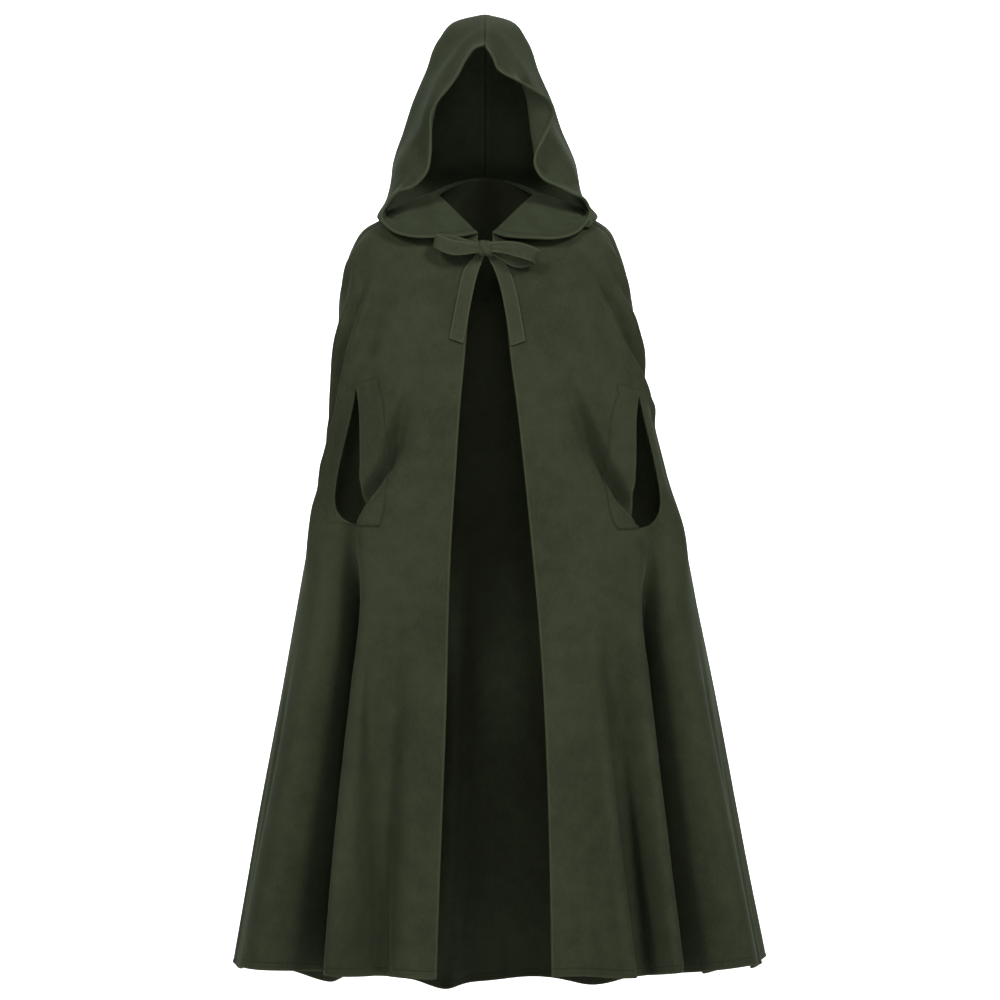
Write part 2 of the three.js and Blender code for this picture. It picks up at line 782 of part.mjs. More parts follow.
// A strap that goes into the knot ends at the knot's skin, a seam gap off it.
function intoKnot(stripSolid) {
  const cut = toManifold(stripSolid).subtract(toManifold(knot(seamGap)));
  const mesh = cut.getMesh();
  const corners = [];
  for (let i = 0; i < mesh.vertProperties.length; i += mesh.numProp) {
    corners.push(new THREE.Vector3().fromArray(mesh.vertProperties, i));
  }
  const triangles = [];
  for (let i = 0; i < mesh.triVerts.length; i += 3) {
    triangles.push(Array.from(mesh.triVerts.slice(i, i + 3)));
  }
  return [corners, triangles];
}

const wool = "#39402c";
const woolShade = "#333a29";
const strapWool = "#3b422e";

addPiece("back_panel", backPanel(), woolShade, 0.95);
addPiece("front_panel_right", frontPanel(-1), wool, 0.94);
addPiece("front_panel_left", frontPanel(1), wool, 0.94);
addPiece("slit_welt_right", slitWelt(-1), wool, 0.93);
addPiece("slit_welt_left", slitWelt(1), wool, 0.93);
addPiece("hood_half_right", hoodHalf(-1), wool, 0.94);
addPiece("hood_half_left", hoodHalf(1), wool, 0.94);
addPiece("tie_root_right", intoKnot(strap(rootRight, 5)), strapWool, 0.92);
addPiece("tie_root_left", intoKnot(strap(rootLeft, 5)), strapWool, 0.92);
addPiece("tie_knot", knot(), strapWool, 0.92);
addPiece("tie_loop_right", intoKnot(strap(loopRight, 22)), strapWool, 0.92);
addPiece("tie_loop_left", intoKnot(strap(loopLeft, 22)), strapWool, 0.92);
addPiece("tie_tail_right", intoKnot(strap(tailRight, 10)), strapWool, 0.92);
addPiece("tie_tail_left", intoKnot(strap(tailLeft, 10)), strapWool, 0.92);

export default cloak;
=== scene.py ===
import math

import bpy
import numpy as np
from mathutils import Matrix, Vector


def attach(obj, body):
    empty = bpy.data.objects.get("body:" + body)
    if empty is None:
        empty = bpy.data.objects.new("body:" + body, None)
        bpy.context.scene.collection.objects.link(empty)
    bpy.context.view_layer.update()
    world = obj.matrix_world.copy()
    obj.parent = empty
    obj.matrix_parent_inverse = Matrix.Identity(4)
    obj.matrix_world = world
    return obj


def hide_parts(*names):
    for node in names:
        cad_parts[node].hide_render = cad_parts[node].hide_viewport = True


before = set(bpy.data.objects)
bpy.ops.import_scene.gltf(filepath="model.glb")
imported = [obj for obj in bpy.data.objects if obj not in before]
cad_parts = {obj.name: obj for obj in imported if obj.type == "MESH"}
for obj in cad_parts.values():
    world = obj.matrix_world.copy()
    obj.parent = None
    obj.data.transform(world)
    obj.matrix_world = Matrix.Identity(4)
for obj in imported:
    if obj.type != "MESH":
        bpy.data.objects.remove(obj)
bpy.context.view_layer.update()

# Metres, Z up, front faces -Y. Side -1 is the wearer's right (-X), side 1 the left (+X).
# The forms are worked out in millimetres and brought to metres when a mesh is made.

MM = 0.001
HEM_RUN = 1410.0
SEAM_ANGLE = 97.0
CLOTH = 1.9
SEAM_GAP = 0.15
WELT_WIDTH = 44.0
STRAP = 24.0
TIE_CLOTH = 2.1
WELT_CLOTH = 1.5
WELT_SLANT = 18.0
CAD_CLOTH = 2.0


# ---------------------------------------------------------------- camera and room

CAMERA_DISTANCE = 8.0
FRAME_WIDTH = 1.7
AIM = Vector((0.0255, 0.0, -0.5185))
FLOOR_Z = -1.46


def make_camera():
    data = bpy.data.cameras.new("camera")
    data.sensor_width = 36.0
    data.lens = 36.0 * CAMERA_DISTANCE / FRAME_WIDTH
    data.clip_end = 60.0
    camera = bpy.data.objects.new("camera", data)
    camera.location = AIM + Vector((0.0, -CAMERA_DISTANCE, 0.0))
    camera.rotation_euler = (math.pi / 2, 0.0, 0.0)
    bpy.context.scene.collection.objects.link(camera)
    bpy.context.scene.camera = camera


make_camera()


def area_light(name, place, aim, size, power):
    data = bpy.data.lights.new(name, "AREA")
    data.shape = "RECTANGLE"
    data.size, data.size_y = size
    data.energy = power
    light = bpy.data.objects.new(name, data)
    light.location = place
    light.rotation_mode = "QUATERNION"
    light.rotation_quaternion = (Vector(aim) - Vector(place)).to_track_quat("-Z", "Y")
    bpy.context.scene.collection.objects.link(light)


# ---------------------------------------------------------------- tables of the form

def table(columns, rows):
    """Named columns, each a numpy array."""
    values = np.array(rows, float)
    return {name: values[:, i] for i, name in enumerate(columns)}


RINGS = table(
    ["run", "right", "left", "front", "back", "side_z", "front_z", "back_z",
     "square_f", "square_b", "edge_r", "edge_l"],
    [
        [0, 82, 84, 88, 62, 0, -84, 32, 0, 0, 13, 14],
        [52, 130, 132, 101, 80, -20, -112, 4, 0.03, 0.03, 13, 16],
        [106, 179, 187, 111, 95, -44, -140, -30, 0.07, 0.07, 16, 23],
        [140, 207, 211, 117, 105, -61, -165, -62, 0.09, 0.09, 20, 28],
        [180, 227, 227, 124, 114, -95, -190, -104, 0.1, 0.1, 24, 32],
        [248, 242, 245, 135, 124, -161, -235, -180, 0.12, 0.1, 30, 38],
        [318, 247, 252, 143, 131, -230, -285, -255, 0.16, 0.09, 34, 43],
        [420, 246, 267, 147, 138, -331, -365, -360, 0.2, 0.07, 41, 53],
        [557, 267, 302, 150, 150, -467, -485, -495, 0.18, 0.06, 49, 66],
        [697, 301, 341, 156, 165, -603, -612, -635, 0.12, 0.05, 57, 79],
        [802, 320, 361, 162, 178, -705, -712, -740, 0.06, 0.05, 61, 89],
        [940, 344, 385, 172, 198, -841, -845, -880, 0.05, 0.05, 64, 98],
        [1147, 377, 417, 188, 228, -1045, -1047, -1090, 0.05, 0.05, 71, 106],
        [1285, 400, 440, 198, 248, -1181, -1183, -1235, 0.05, 0.05, 76, 109],
        [1410, 421, 464, 206, 266, -1304, -1310, -1361, 0.05, 0.05, 80, 111],
    ],
)

SLITS = {
    -1: {"top": 405, "end": 650, "top_angle": 47.2, "end_angle": 40.9, "hem_angle": 42.5,
         "front_gap": 2, "rear_gap": 17},
    1: {"top": 420, "end": 656, "top_angle": 55.2, "end_angle": 44.2, "hem_angle": 46,
        "front_gap": 4, "rear_gap": 14},
}

# Folds of the drape: from which run each grows, over what length, where it ends and fades,
# its angle at both ends, the bend of its line, its widths ahead and behind, its height.
FOLD_COLUMNS = ["side", "start", "grow", "stop", "fade", "at", "to", "bend", "ahead", "behind", "height"]
FOLDS = [
    [-1, 130, 80, 320, 120, 62, 80, 1, 7, 3.5, 7],
    [-1, 180, 120, 590, 120, 46, 88, 1, 9, 4, 12],
    [-1, 150, 90, 420, 90, 31, 40, 1, 6, 5, 5],
    [-1, 400, 130, 625, 50, 28, 41, 2.2, 3.5, 4, -14],
    [-1, 520, 120, 800, 200, 66, 64, 1, 6, 8, 12],
    [-1, 540, 420, 1410, 0, 44.5, 42.5, 1, 4.5, 6, -122],
    [-1, 560, 800, 1410, 0, 37, 34.5, 1, 7, 5, 40],
    [-1, 700, 600, 1410, 0, 27, 25, 1, 4, 4.5, -44],
    [-1, 760, 650, 1410, 0, 17, 15.5, 1, 5, 4, 12],
    [-1, 700, 700, 1410, 0, 58, 58, 1, 7, 14, 30],
    [1, 125, 80, 320, 120, 58, 78, 1.2, 7, 3.5, 7],
    [1, 190, 110, 450, 110, 46, 88, 1.2, 9, 4, 12],
    [1, 160, 90, 430, 90, 32, 49, 1, 6, 5, 6],
    [1, 380, 150, 640, 50, 27.5, 43, 1.5, 4.5, 4.5, -18],
    [1, 560, 120, 850, 220, 66, 64, 1, 6, 8, 10],
    [1, 560, 480, 1410, 0, 49.5, 47.5, 1, 4.5, 5, -104],
    [1, 600, 800, 1410, 0, 42, 40.5, 1, 4.5, 4, 34],
    [1, 720, 600, 1410, 0, 35, 34.5, 1, 2.6, 4, -44],
    [1, 700, 700, 1410, 0, 30, 29.5, 1, 7, 3.2, 30],
    [1, 700, 700, 1410, 0, 62, 60, 1, 7, 10, 42],
    [-1, 420, 950, 1410, 0, 104, 104, 1, 8, 8, -34],
    [-1, 380, 950, 1410, 0, 123, 121, 1, 8, 8, 34],
    [-1, 350, 980, 1410, 0, 141, 138, 1, 7, 7, -52],
    [-1, 420, 950, 1410, 0, 157, 154, 1, 7, 7, 30],
    [-1, 420, 850, 1410, 0, 172, 170, 1, 5, 4.5, -62],
    [1, 420, 950, 1410, 0, 174, 173, 1, 8, 8, 24],
    [1, 380, 950, 1410, 0, 157, 155, 1, 7, 7, -46],
    [1, 350, 980, 1410, 0, 140, 138, 1, 8, 8, 36],
    [1, 400, 950, 1410, 0, 122, 121, 1, 7, 7, -48],
    [1, 450, 950, 1410, 0, 105, 105, 1, 7, 7, 28],
]

# Smaller creases, of the same kind, that only the cloth's surface shows.
CREASES = [
    # right shoulder, chest and side
    [-1, 40, 90, 330, 120, 70, 74, 1, 2.2, 2.2, -2.0],
    [-1, 70, 90, 420, 160, 40, 52, 1.2, 3.0, 4.0, -2.4],
    [-1, 60, 100, 380, 160, 24, 27, 1, 3.5, 3.5, 1.8],
    [-1, 120, 90, 470, 150, 86, 93, 1, 2.4, 3.2, -3.4],
    [-1, 330, 120, 640, 120, 60, 57, 1, 3.0, 2.2, -3.0],
    # right skirt
    [-1, 820, 300, 1410, 0, 70, 72, 1, 3.0, 3.6, -8.0],
    [-1, 900, 300, 1410, 0, 84, 85, 1, 3.4, 3.0, 6.0],
    # left shoulder, chest and side
    [1, 40, 90, 340, 120, 68, 73, 1, 2.2, 2.4, -2.0],
    [1, 70, 90, 430, 160, 42, 60, 1.3, 3.0, 3.6, -2.6],
    [1, 60, 100, 380, 160, 22, 28, 1, 3.5, 3.5, 1.8],
    [1, 120, 90, 470, 150, 86, 93, 1, 2.6, 3.0, -3.2],
    [1, 340, 120, 640, 120, 68, 64, 1, 2.6, 2.4, -3.0],
    # left skirt
    [1, 760, 300, 1410, 0, 22, 21.5, 1, 2.6, 2.6, -6.0],
    [1, 800, 300, 1410, 0, 71, 72, 1, 3.0, 3.4, -9.0],
    [1, 900, 300, 1410, 0, 84, 85, 1, 3.2, 3.0, 6.0],
    # back
    [-1, 60, 120, 700, 300, 112, 114, 1, 3.0, 3.0, -2.6],
    [-1, 90, 160, 1410, 0, 131, 130, 1, 3.4, 2.8, 5.0],
    [-1, 60, 140, 900, 300, 149, 148, 1, 3.0, 3.4, -3.2],
    [-1, 300, 260, 1410, 0, 164, 162, 1, 2.6, 2.6, 7.0],
    [1, 90, 160, 1100, 300, 166, 165, 1, 2.8, 3.0, -3.6],
    [1, 60, 140, 1410, 0, 149, 147, 1, 3.2, 2.8, 5.0],
    [1, 70, 130, 800, 300, 131, 130, 1, 3.0, 3.0, -3.0],
    [1, 200, 240, 1410, 0, 113, 113, 1, 2.6, 3.0, 6.0],
]

# Creases that wander: side, width, height, where along it each has grown and starts to fade,
# then the angle and run of each point of its line.
LINES = [
    # right half: drag to the slit and its flank, shoulder crests with the hollow behind, chest, side
    (-1, 11.0, -11.0, 0.7, 1.0, [(21, 300), (26.5, 392), (30.2, 472), (31.8, 530), (34.8, 562), (41.5, 622)]),
    (-1, 4.5, -8.0, 0.8, 1.0, [(28.5, 430), (30.6, 480), (31.8, 530), (34.8, 562), (41.5, 622)]),
    (-1, 10.0, 5.0, 0.5, 0.9, [(23.5, 330), (29.5, 405), (34.5, 480), (37, 535), (40.5, 572), (43.5, 600)]),
    (-1, 9.0, 5.0, 0.3, 0.6, [(61.2, 160), (58.2, 205), (55.5, 260), (55.5, 305), (58, 340)]),
    (-1, 10.0, 10.0, 0.2, 0.85,
     [(44, 175), (45.5, 240), (47, 288), (49, 325), (54, 398), (60, 480), (66, 558), (71, 600)]),
    (-1, 13.0, -15.0, 0.25, 0.8, [(49, 180), (51, 240), (52.5, 288), (55, 325), (61, 398), (67, 480), (73, 558)]),
    (-1, 14.0, -5.0, 0.3, 0.8, [(38, 200), (39.5, 250), (41, 300), (42, 345), (44.5, 385)]),
    (-1, 13.0, 4.0, 0.4, 0.6, [(30.2, 162), (31, 215), (32.2, 268), (36.5, 362)]),
    (-1, 8.0, -4.5, 0.4, 0.6, [(84, 300), (79, 380), (76, 450), (75, 520)]),
    # right skirt: hollow beside the main fold, its lit crest, the deep side of the fold
    (-1, 15.0, -13.0, 0.35, 1.0, [(33.5, 760), (33, 860), (30.5, 990), (27.5, 1190), (24.5, 1400)]),
    (-1, 10.0, 6.0, 0.3, 1.0, [(38.5, 700), (38, 820), (37.5, 980), (36, 1180), (34.5, 1400)]),
    (-1, 13.0, -14.0, 0.3, 1.0, [(45.5, 690), (44.5, 820), (43.5, 980), (42, 1180), (41, 1400)]),
    (-1, 20.0, -9.0, 0.5, 1.0, [(17, 900), (16.5, 1100), (15.5, 1400)]),
    # left half
    (1, 12.0, -11.5, 0.7, 1.0, [(23, 290), (25.5, 330), (28.2, 405), (31, 472), (35, 542), (39, 592), (44, 645)]),
    (1, 5.0, -8.0, 0.8, 1.0, [(29, 430), (31, 472), (35, 542), (39, 592), (44, 645)]),
    (1, 10.0, 5.0, 0.5, 0.9, [(29, 350), (32.5, 415), (36, 478), (40, 545), (43.5, 585), (46, 610)]),
    (1, 9.0, 5.0, 0.3, 0.7, [(57.2, 138), (53.5, 182), (54.5, 220), (56, 258), (61, 300), (68, 330)]),
    (1, 10.0, 10.0, 0.2, 0.85,
     [(43, 180), (44, 232), (45.5, 268), (48.8, 308), (52.5, 345), (57.8, 382), (66, 430), (74, 490)]),
    (1, 13.0, -15.0, 0.25, 0.8, [(48, 185), (49, 232), (51.5, 268), (55, 308), (59, 345), (65, 385), (73, 440)]),
    (1, 14.0, -5.0, 0.3, 0.7, [(39, 235), (40.5, 270), (43, 312), (46, 350), (49, 390)]),
    (1, 14.0, 4.0, 0.4, 0.7, [(29.2, 218), (35, 308), (41, 388)]),
    (1, 8.0, -4.5, 0.4, 0.6, [(86, 310), (80, 390), (77, 460), (76, 540)]),
    # left skirt: first crest and the hollow behind it, second crest and the deep side of the fold
    (1, 13.0, 8.0, 0.35, 1.0, [(27.2, 780), (27.6, 900), (28, 1085), (28.6, 1285), (29, 1405)]),
    (1, 16.0, -17.0, 0.35, 1.0, [(31.5, 780), (32, 900), (32.6, 1085), (33.4, 1285), (34, 1405)]),
    (1, 10.0, 6.0, 0.3, 1.0, [(43, 690), (42.6, 820), (42.2, 980), (41.6, 1180), (41, 1400)]),
    (1, 14.0, -14.0, 0.3, 1.0, [(49.5, 690), (48.6, 820), (47.8, 980), (47, 1180), (46.5, 1400)]),
]

# The hood's front edge on each half, and the line just behind it.
EDGE_COLUMNS = ["up", "x", "y", "z", "lip_x", "lip_y", "lip_z"]
HOOD_EDGES = {
    -1: table(EDGE_COLUMNS, [
        [0, 13, -88, -70, 22, -84, -62],
        [0.05, 40, -110, -76, 44, -98, -60],
        [0.12, 85, -116, -78, 78, -100, -58],
        [0.18, 125, -112, -76, 116, -94, -62],
        [0.24, 158, -94, -64, 148, -76, -52],
        [0.29, 174, -74, -42, 170, -52, -36],
        [0.34, 163, -74, -18, 167, -50, -18],
        [0.38, 148, -84, -1, 156, -62, -2],
        [0.43, 119, -94, 9, 134, -74, 18],
        [0.48, 98, -98, 32, 112, -80, 38],
        [0.53, 92, -96, 58, 102, -78, 62],
        [0.6, 91, -97, 98, 92, -80, 100],
        [0.67, 90, -101, 130, 86, -84, 128],
        [0.72, 81, -105, 149, 82, -86, 146],
        [0.8, 62, -110, 172, 68, -92, 172],
        [0.86, 46, -113, 194, 54, -96, 196],
        [0.92, 32, -115, 220, 38, -99, 224],
        [0.96, 18, -116, 238, 20, -101, 246],
        [1, 0, -117, 245, 0, -103, 252],
    ]),
    1: table(EDGE_COLUMNS, [
        [0, 14, -88, -70, 22, -84, -62],
        [0.05, 36, -108, -77, 44, -96, -60],
        [0.12, 84, -116, -80, 78, -100, -58],
        [0.18, 125, -112, -79, 116, -94, -62],
        [0.24, 158, -88, -66, 148, -74, -52],
        [0.29, 176, -66, -42, 172, -50, -36],
        [0.33, 176, -62, -26, 172, -44, -22],
        [0.36, 168, -72, -12, 164, -52, -8],
        [0.4, 149, -84, -3, 150, -62, 0],
        [0.44, 124, -91, 9, 128, -70, 14],
        [0.48, 103, -96, 18, 108, -74, 26],
        [0.52, 91, -98, 30, 96, -76, 38],
        [0.56, 84, -96, 47, 88, -76, 52],
        [0.6, 87, -93, 66, 83, -74, 70],
        [0.64, 100, -88, 91, 80, -70, 92],
        [0.68, 113, -84, 118, 79, -68, 116],
        [0.72, 117, -84, 134, 78, -70, 138],
        [0.77, 108, -93, 154, 74, -76, 160],
        [0.83, 74, -108, 175, 60, -90, 184],
        [0.88, 51, -112, 187, 48, -97, 200],
        [0.92, 31, -115, 197, 36, -100, 214],
        [0.95, 21, -116, 206, 26, -101, 226],
        [0.975, 13, -117, 225, 14, -102, 240],
        [1, 0, -117, 245, 0, -103, 252],
    ]),
}

HOOD_FLOOR = {0.2: (58, 112), 0.38: (92, 105), 0.68: (140, 66), 1.0: (180, 34)}
HOOD_BODY = table(
    ["up", "slim", "cheek_x", "cheek_y", "cheek_z", "side_x", "side_y", "side_z",
     "back_x", "back_y", "back_z", "seam_x", "seam_y", "seam_z"],
    [
        [0.36, 0, 164, -30, -10, 166, 12, -4, 118, 98, 22, 0, 118, 66],
        [0.48, 0.02, 140, -48, 48, 157, 12, 55, 110, 100, 80, 0, 130, 110],
        [0.6, 0.055, 112, -50, 104, 137, 8, 108, 98, 92, 130, 0, 128, 152],
        [0.72, 0.065, 98, -52, 150, 120, 4, 158, 84, 82, 176, 0, 118, 192],
        [0.82, 0.085, 80, -56, 194, 100, 0, 208, 68, 70, 218, 0, 106, 226],
        [0.91, 0.1, 54, -64, 234, 78, -6, 262, 46, 58, 252, 0, 94, 248],
        [0.96, 0.1, 30, -73, 262, 50, -14, 292, 28, 52, 278, 0, 88, 258],
        [1, 0, 0, -82, 274, 0, -22, 304, 0, 42, 291, 0, 80, 267],
    ],
)
HOOD_FLOOR_TOP = 0.28
HOOD_LIFT = 7.0
HOOD_REST = 4.0
NECK_GAP = 0.6

# Soft folds of the hood: a line from (up, around) to (up, around), its half width, its height.
HOOD_FOLD_COLUMNS = ["side", "up_a", "around_a", "up_b", "around_b", "width", "height"]
HOOD_FOLDS = [
    # right half: long fold behind the lip, slack side, gathers low inside, back
    [-1, 0.97, 0.15, 0.52, 0.18, 0.05, 2.6],
    [-1, 0.92, 0.27, 0.40, 0.36, 0.07, -3.6],
    [-1, 0.80, 0.44, 0.34, 0.52, 0.08, 2.6],
    [-1, 0.42, 0.07, 0.30, 0.24, 0.03, -3.0],
    [-1, 0.38, 0.12, 0.24, 0.34, 0.03, 3.4],
    [-1, 0.32, 0.20, 0.20, 0.42, 0.03, -3.0],
    [-1, 0.17, 0.03, 0.07, 0.34, 0.03, 2.2],
    [-1, 0.11, 0.05, 0.04, 0.42, 0.025, -1.6],
    [-1, 0.62, 0.60, 0.30, 0.62, 0.07, -4.5],
    [-1, 0.50, 0.80, 0.24, 0.72, 0.07, 4.0],
    # left half
    [1, 0.97, 0.18, 0.80, 0.20, 0.05, 2.2],
    [1, 0.90, 0.32, 0.46, 0.36, 0.07, -3.0],
    [1, 0.60, 0.17, 0.38, 0.26, 0.05, 3.0],
    [1, 0.78, 0.46, 0.34, 0.52, 0.08, 2.6],
    [1, 0.36, 0.14, 0.22, 0.34, 0.03, 3.0],
    [1, 0.30, 0.22, 0.18, 0.44, 0.03, -3.0],
    [1, 0.15, 0.04, 0.06, 0.36, 0.03, 2.2],
    [1, 0.60, 0.62, 0.30, 0.60, 0.07, -4.5],
    [1, 0.48, 0.78, 0.24, 0.74, 0.07, 4.0],
]


# ---------------------------------------------------------------- functions of the form

def through(knots, values, at):
    """A smooth cubic through the values at the knots."""
    step = np.diff(knots)
    secant = np.diff(values) / step
    inner = (secant[:-1] * step[1:] + secant[1:] * step[:-1]) / (step[:-1] + step[1:])
    slope = np.concatenate([[secant[0]], inner, [secant[-1]]])
    at = np.clip(np.asarray(at, float), knots[0], knots[-1])
    i = np.clip(np.searchsorted(knots, at, side="right") - 1, 0, len(knots) - 2)
    h = knots[i + 1] - knots[i]
    t = (at - knots[i]) / h
    keep = 1 - t
    return ((1 + 2 * t) * keep * keep * values[i] + t * keep * keep * h * slope[i]
            + t * t * (3 - 2 * t) * values[i + 1] - t * t * keep * h * slope[i + 1])


def ramp(t):
    t = np.clip(t, 0.0, 1.0)
    return t * t * (3 - 2 * t)


def ring(column, run):
    return through(RINGS["run"], RINGS[column], run)


def unit(vectors):
    return vectors / np.maximum(np.linalg.norm(vectors, axis=-1, keepdims=True), 1e-12)


def cape_base(side, angle, run):
    """The unfolded cape: a squared oval ring whose height falls from the sides to front and back."""
    s, c = np.sin(np.radians(angle)), np.cos(np.radians(angle))
    ahead = c > 0
    width = ring("right" if side < 0 else "left", run)
    depth = np.where(ahead, ring("front", run), ring("back", run))
    end = np.where(ahead, ring("front_z", run), ring("back_z", run))
    side_z = ring("side_z", run)
    square = np.where(ahead, ring("square_f", run), ring("square_b", run))
    full = 1 + square * np.sin(2 * np.radians(angle)) ** 2
    power = np.where(ahead, 1.0, 2.0 + ramp(run / HEM_RUN))
    height = side_z + (end - side_z) * (1 - np.abs(s) ** power)
    return np.stack([side * width * s * full, -depth * c * full, height], -1)


def fold_height(side, angle, run, folds):
    """The sum of the folds, each a bell across its line that grows and fades along it."""
    total = np.zeros(np.broadcast(angle, run).shape)
    for row in folds:
        f = dict(zip(FOLD_COLUMNS, row))
        here = angle if f["side"] == side else 360 - angle
        share = np.clip((run - f["start"]) / (f["stop"] - f["start"]), 0, 1)
        off = here - (f["at"] + (f["to"] - f["at"]) * share ** f["bend"])
        width = np.where(off < 0, f["ahead"], f["behind"])
        strength = ramp((run - f["start"]) / f["grow"])
        if f["fade"] > 0:
            strength = strength * (1 - ramp((run - f["stop"] + f["fade"]) / f["fade"]))
        total = total + f["height"] * strength * np.exp(-(off / width) ** 2)
    return total


def line_height(side, angle, run):
    """The sum of the wandering creases: a bell across each line, over distance on the plain cape."""
    base = cape_base(side, angle, run)
    total = np.zeros(base.shape[:-1])
    for line_side, width, height, grown, fading, points in LINES:
        if line_side != side:
            continue
        at, down = np.array(points, float).T
        knots = np.arange(len(at), dtype=float)
        fine = np.linspace(0, knots[-1], 8 * len(at))
        line = cape_base(side, through(knots, at, fine), through(knots, down, fine))
        walk = np.concatenate([[0], np.cumsum(np.linalg.norm(np.diff(line, axis=0), axis=1))])
        nearest = np.full(total.shape, np.inf)
        share = np.zeros(total.shape)
        for i in range(len(line) - 1):
            step = line[i + 1] - line[i]
            part = np.clip(((base - line[i]) @ step) / (step @ step), 0, 1)
            gap = np.linalg.norm(base - line[i] - part[..., None] * step, axis=-1)
            closer = gap < nearest
            nearest = np.where(closer, gap, nearest)
            share = np.where(closer, (walk[i] + part * (walk[i + 1] - walk[i])) / walk[-1], share)
        strength = ramp(share / grown)
        if fading < 1:
            strength = strength * (1 - ramp((share - fading) / (1 - fading)))
        total = total + height * strength * np.exp(-(nearest / width) ** 2)
    return total


def outward(side, surface, angle, run):
    step = 0.05
    across = surface(side, angle + step, run) - surface(side, angle - step, run)
    down = surface(side, angle, run + step) - surface(side, angle, run - step)
    return unit(np.cross(across, down) * -side)


def cape_drape(side, angle, run):
    """The cape with its folds, as the solids have it."""
    normal = outward(side, cape_base, angle, np.maximum(run, 0.1))
    return cape_base(side, angle, run) + normal * fold_height(side, angle, run, FOLDS)[..., None]


def cape(side, angle, run):
    """The drape with its smaller creases, and a hem that waves a little in height."""
    normal = outward(side, cape_drape, angle, np.clip(run, 0.1, HEM_RUN - 0.1))
    point = cape_drape(side, angle, run)
    height = fold_height(side, angle, run, CREASES) + line_height(side, angle, run)
    point = point + normal * height[..., None]
    turn = np.radians(angle) * side
    wave = 2.5 * np.sin(turn * 7 + 1) + 1.6 * np.sin(turn * 17 + 2)
    return point + np.stack([0 * wave, 0 * wave, wave * ramp((run - 1150) / 260)], -1)


def slit_line(side, run):
    s = SLITS[side]
    share = np.clip((run - s["top"]) / (s["end"] - s["top"]), 0, 1)
    below = ramp((run - s["end"]) / 250)
    line = s["top_angle"] + (s["end_angle"] - s["top_angle"]) * share
    return line + (s["hem_angle"] - s["end_angle"]) * below


def slit_gape(side, run):
    s = SLITS[side]
    share = np.clip((run - s["top"]) / (s["end"] - s["top"]), 0, 1)
    front = s["front_gap"] * (1 - (2 * share - 1) ** 4)
    return front, s["rear_gap"] * share ** 1.2 * np.sqrt(1 - share ** 4)


def front_edge_angle(side, run):
    near, far = ("edge_r", "right") if side < 0 else ("edge_l", "left")
    return np.degrees(np.arcsin(ring(near, run) / ring(far, run)))


def degrees_across(side, angle, run, length):
    chord = cape_base(side, angle + 0.5, run) - cape_base(side, angle - 0.5, run)
    return length / np.linalg.norm(chord, axis=-1)


def seam_shift(side, run):
    chord = cape_drape(side, SEAM_ANGLE + 0.1 + 0 * run, run) - cape_drape(side, SEAM_ANGLE - 0.1 + 0 * run, run)
    return SEAM_GAP * 0.2 / np.linalg.norm(chord, axis=-1)


def stretch(side, name, run):
    """First and last angle of a stretch of the cape at each run."""
    line = slit_line(side, run)
    ahead, behind = slit_gape(side, run)
    welt = line - ahead - degrees_across(side, line - 5, run, WELT_WIDTH)
    if name == "face":
        return front_edge_angle(side, run), welt
    if name == "band":
        return welt, line - ahead
    if name == "rear":
        return line + behind, SEAM_ANGLE - seam_shift(side, run)
    return SEAM_ANGLE + seam_shift(side, run), 180.0 + 0 * run


def even_places(side, name, count):
    """Places from 0 to 1, mostly even along the hem and a little even in angle."""
    u = np.linspace(0, 1, 500)
    run = np.full(500, HEM_RUN)
    start, stop = stretch(side, name, run)
    p = cape_drape(side, start + (stop - start) * u, run)
    length = np.concatenate([[0], np.cumsum(np.linalg.norm(np.diff(p, axis=0), axis=1))])
    return np.interp(np.linspace(0, 1, count + 1), 0.7 * length / length[-1] + 0.3 * u, u)


# ---------------------------------------------------------------- meshes

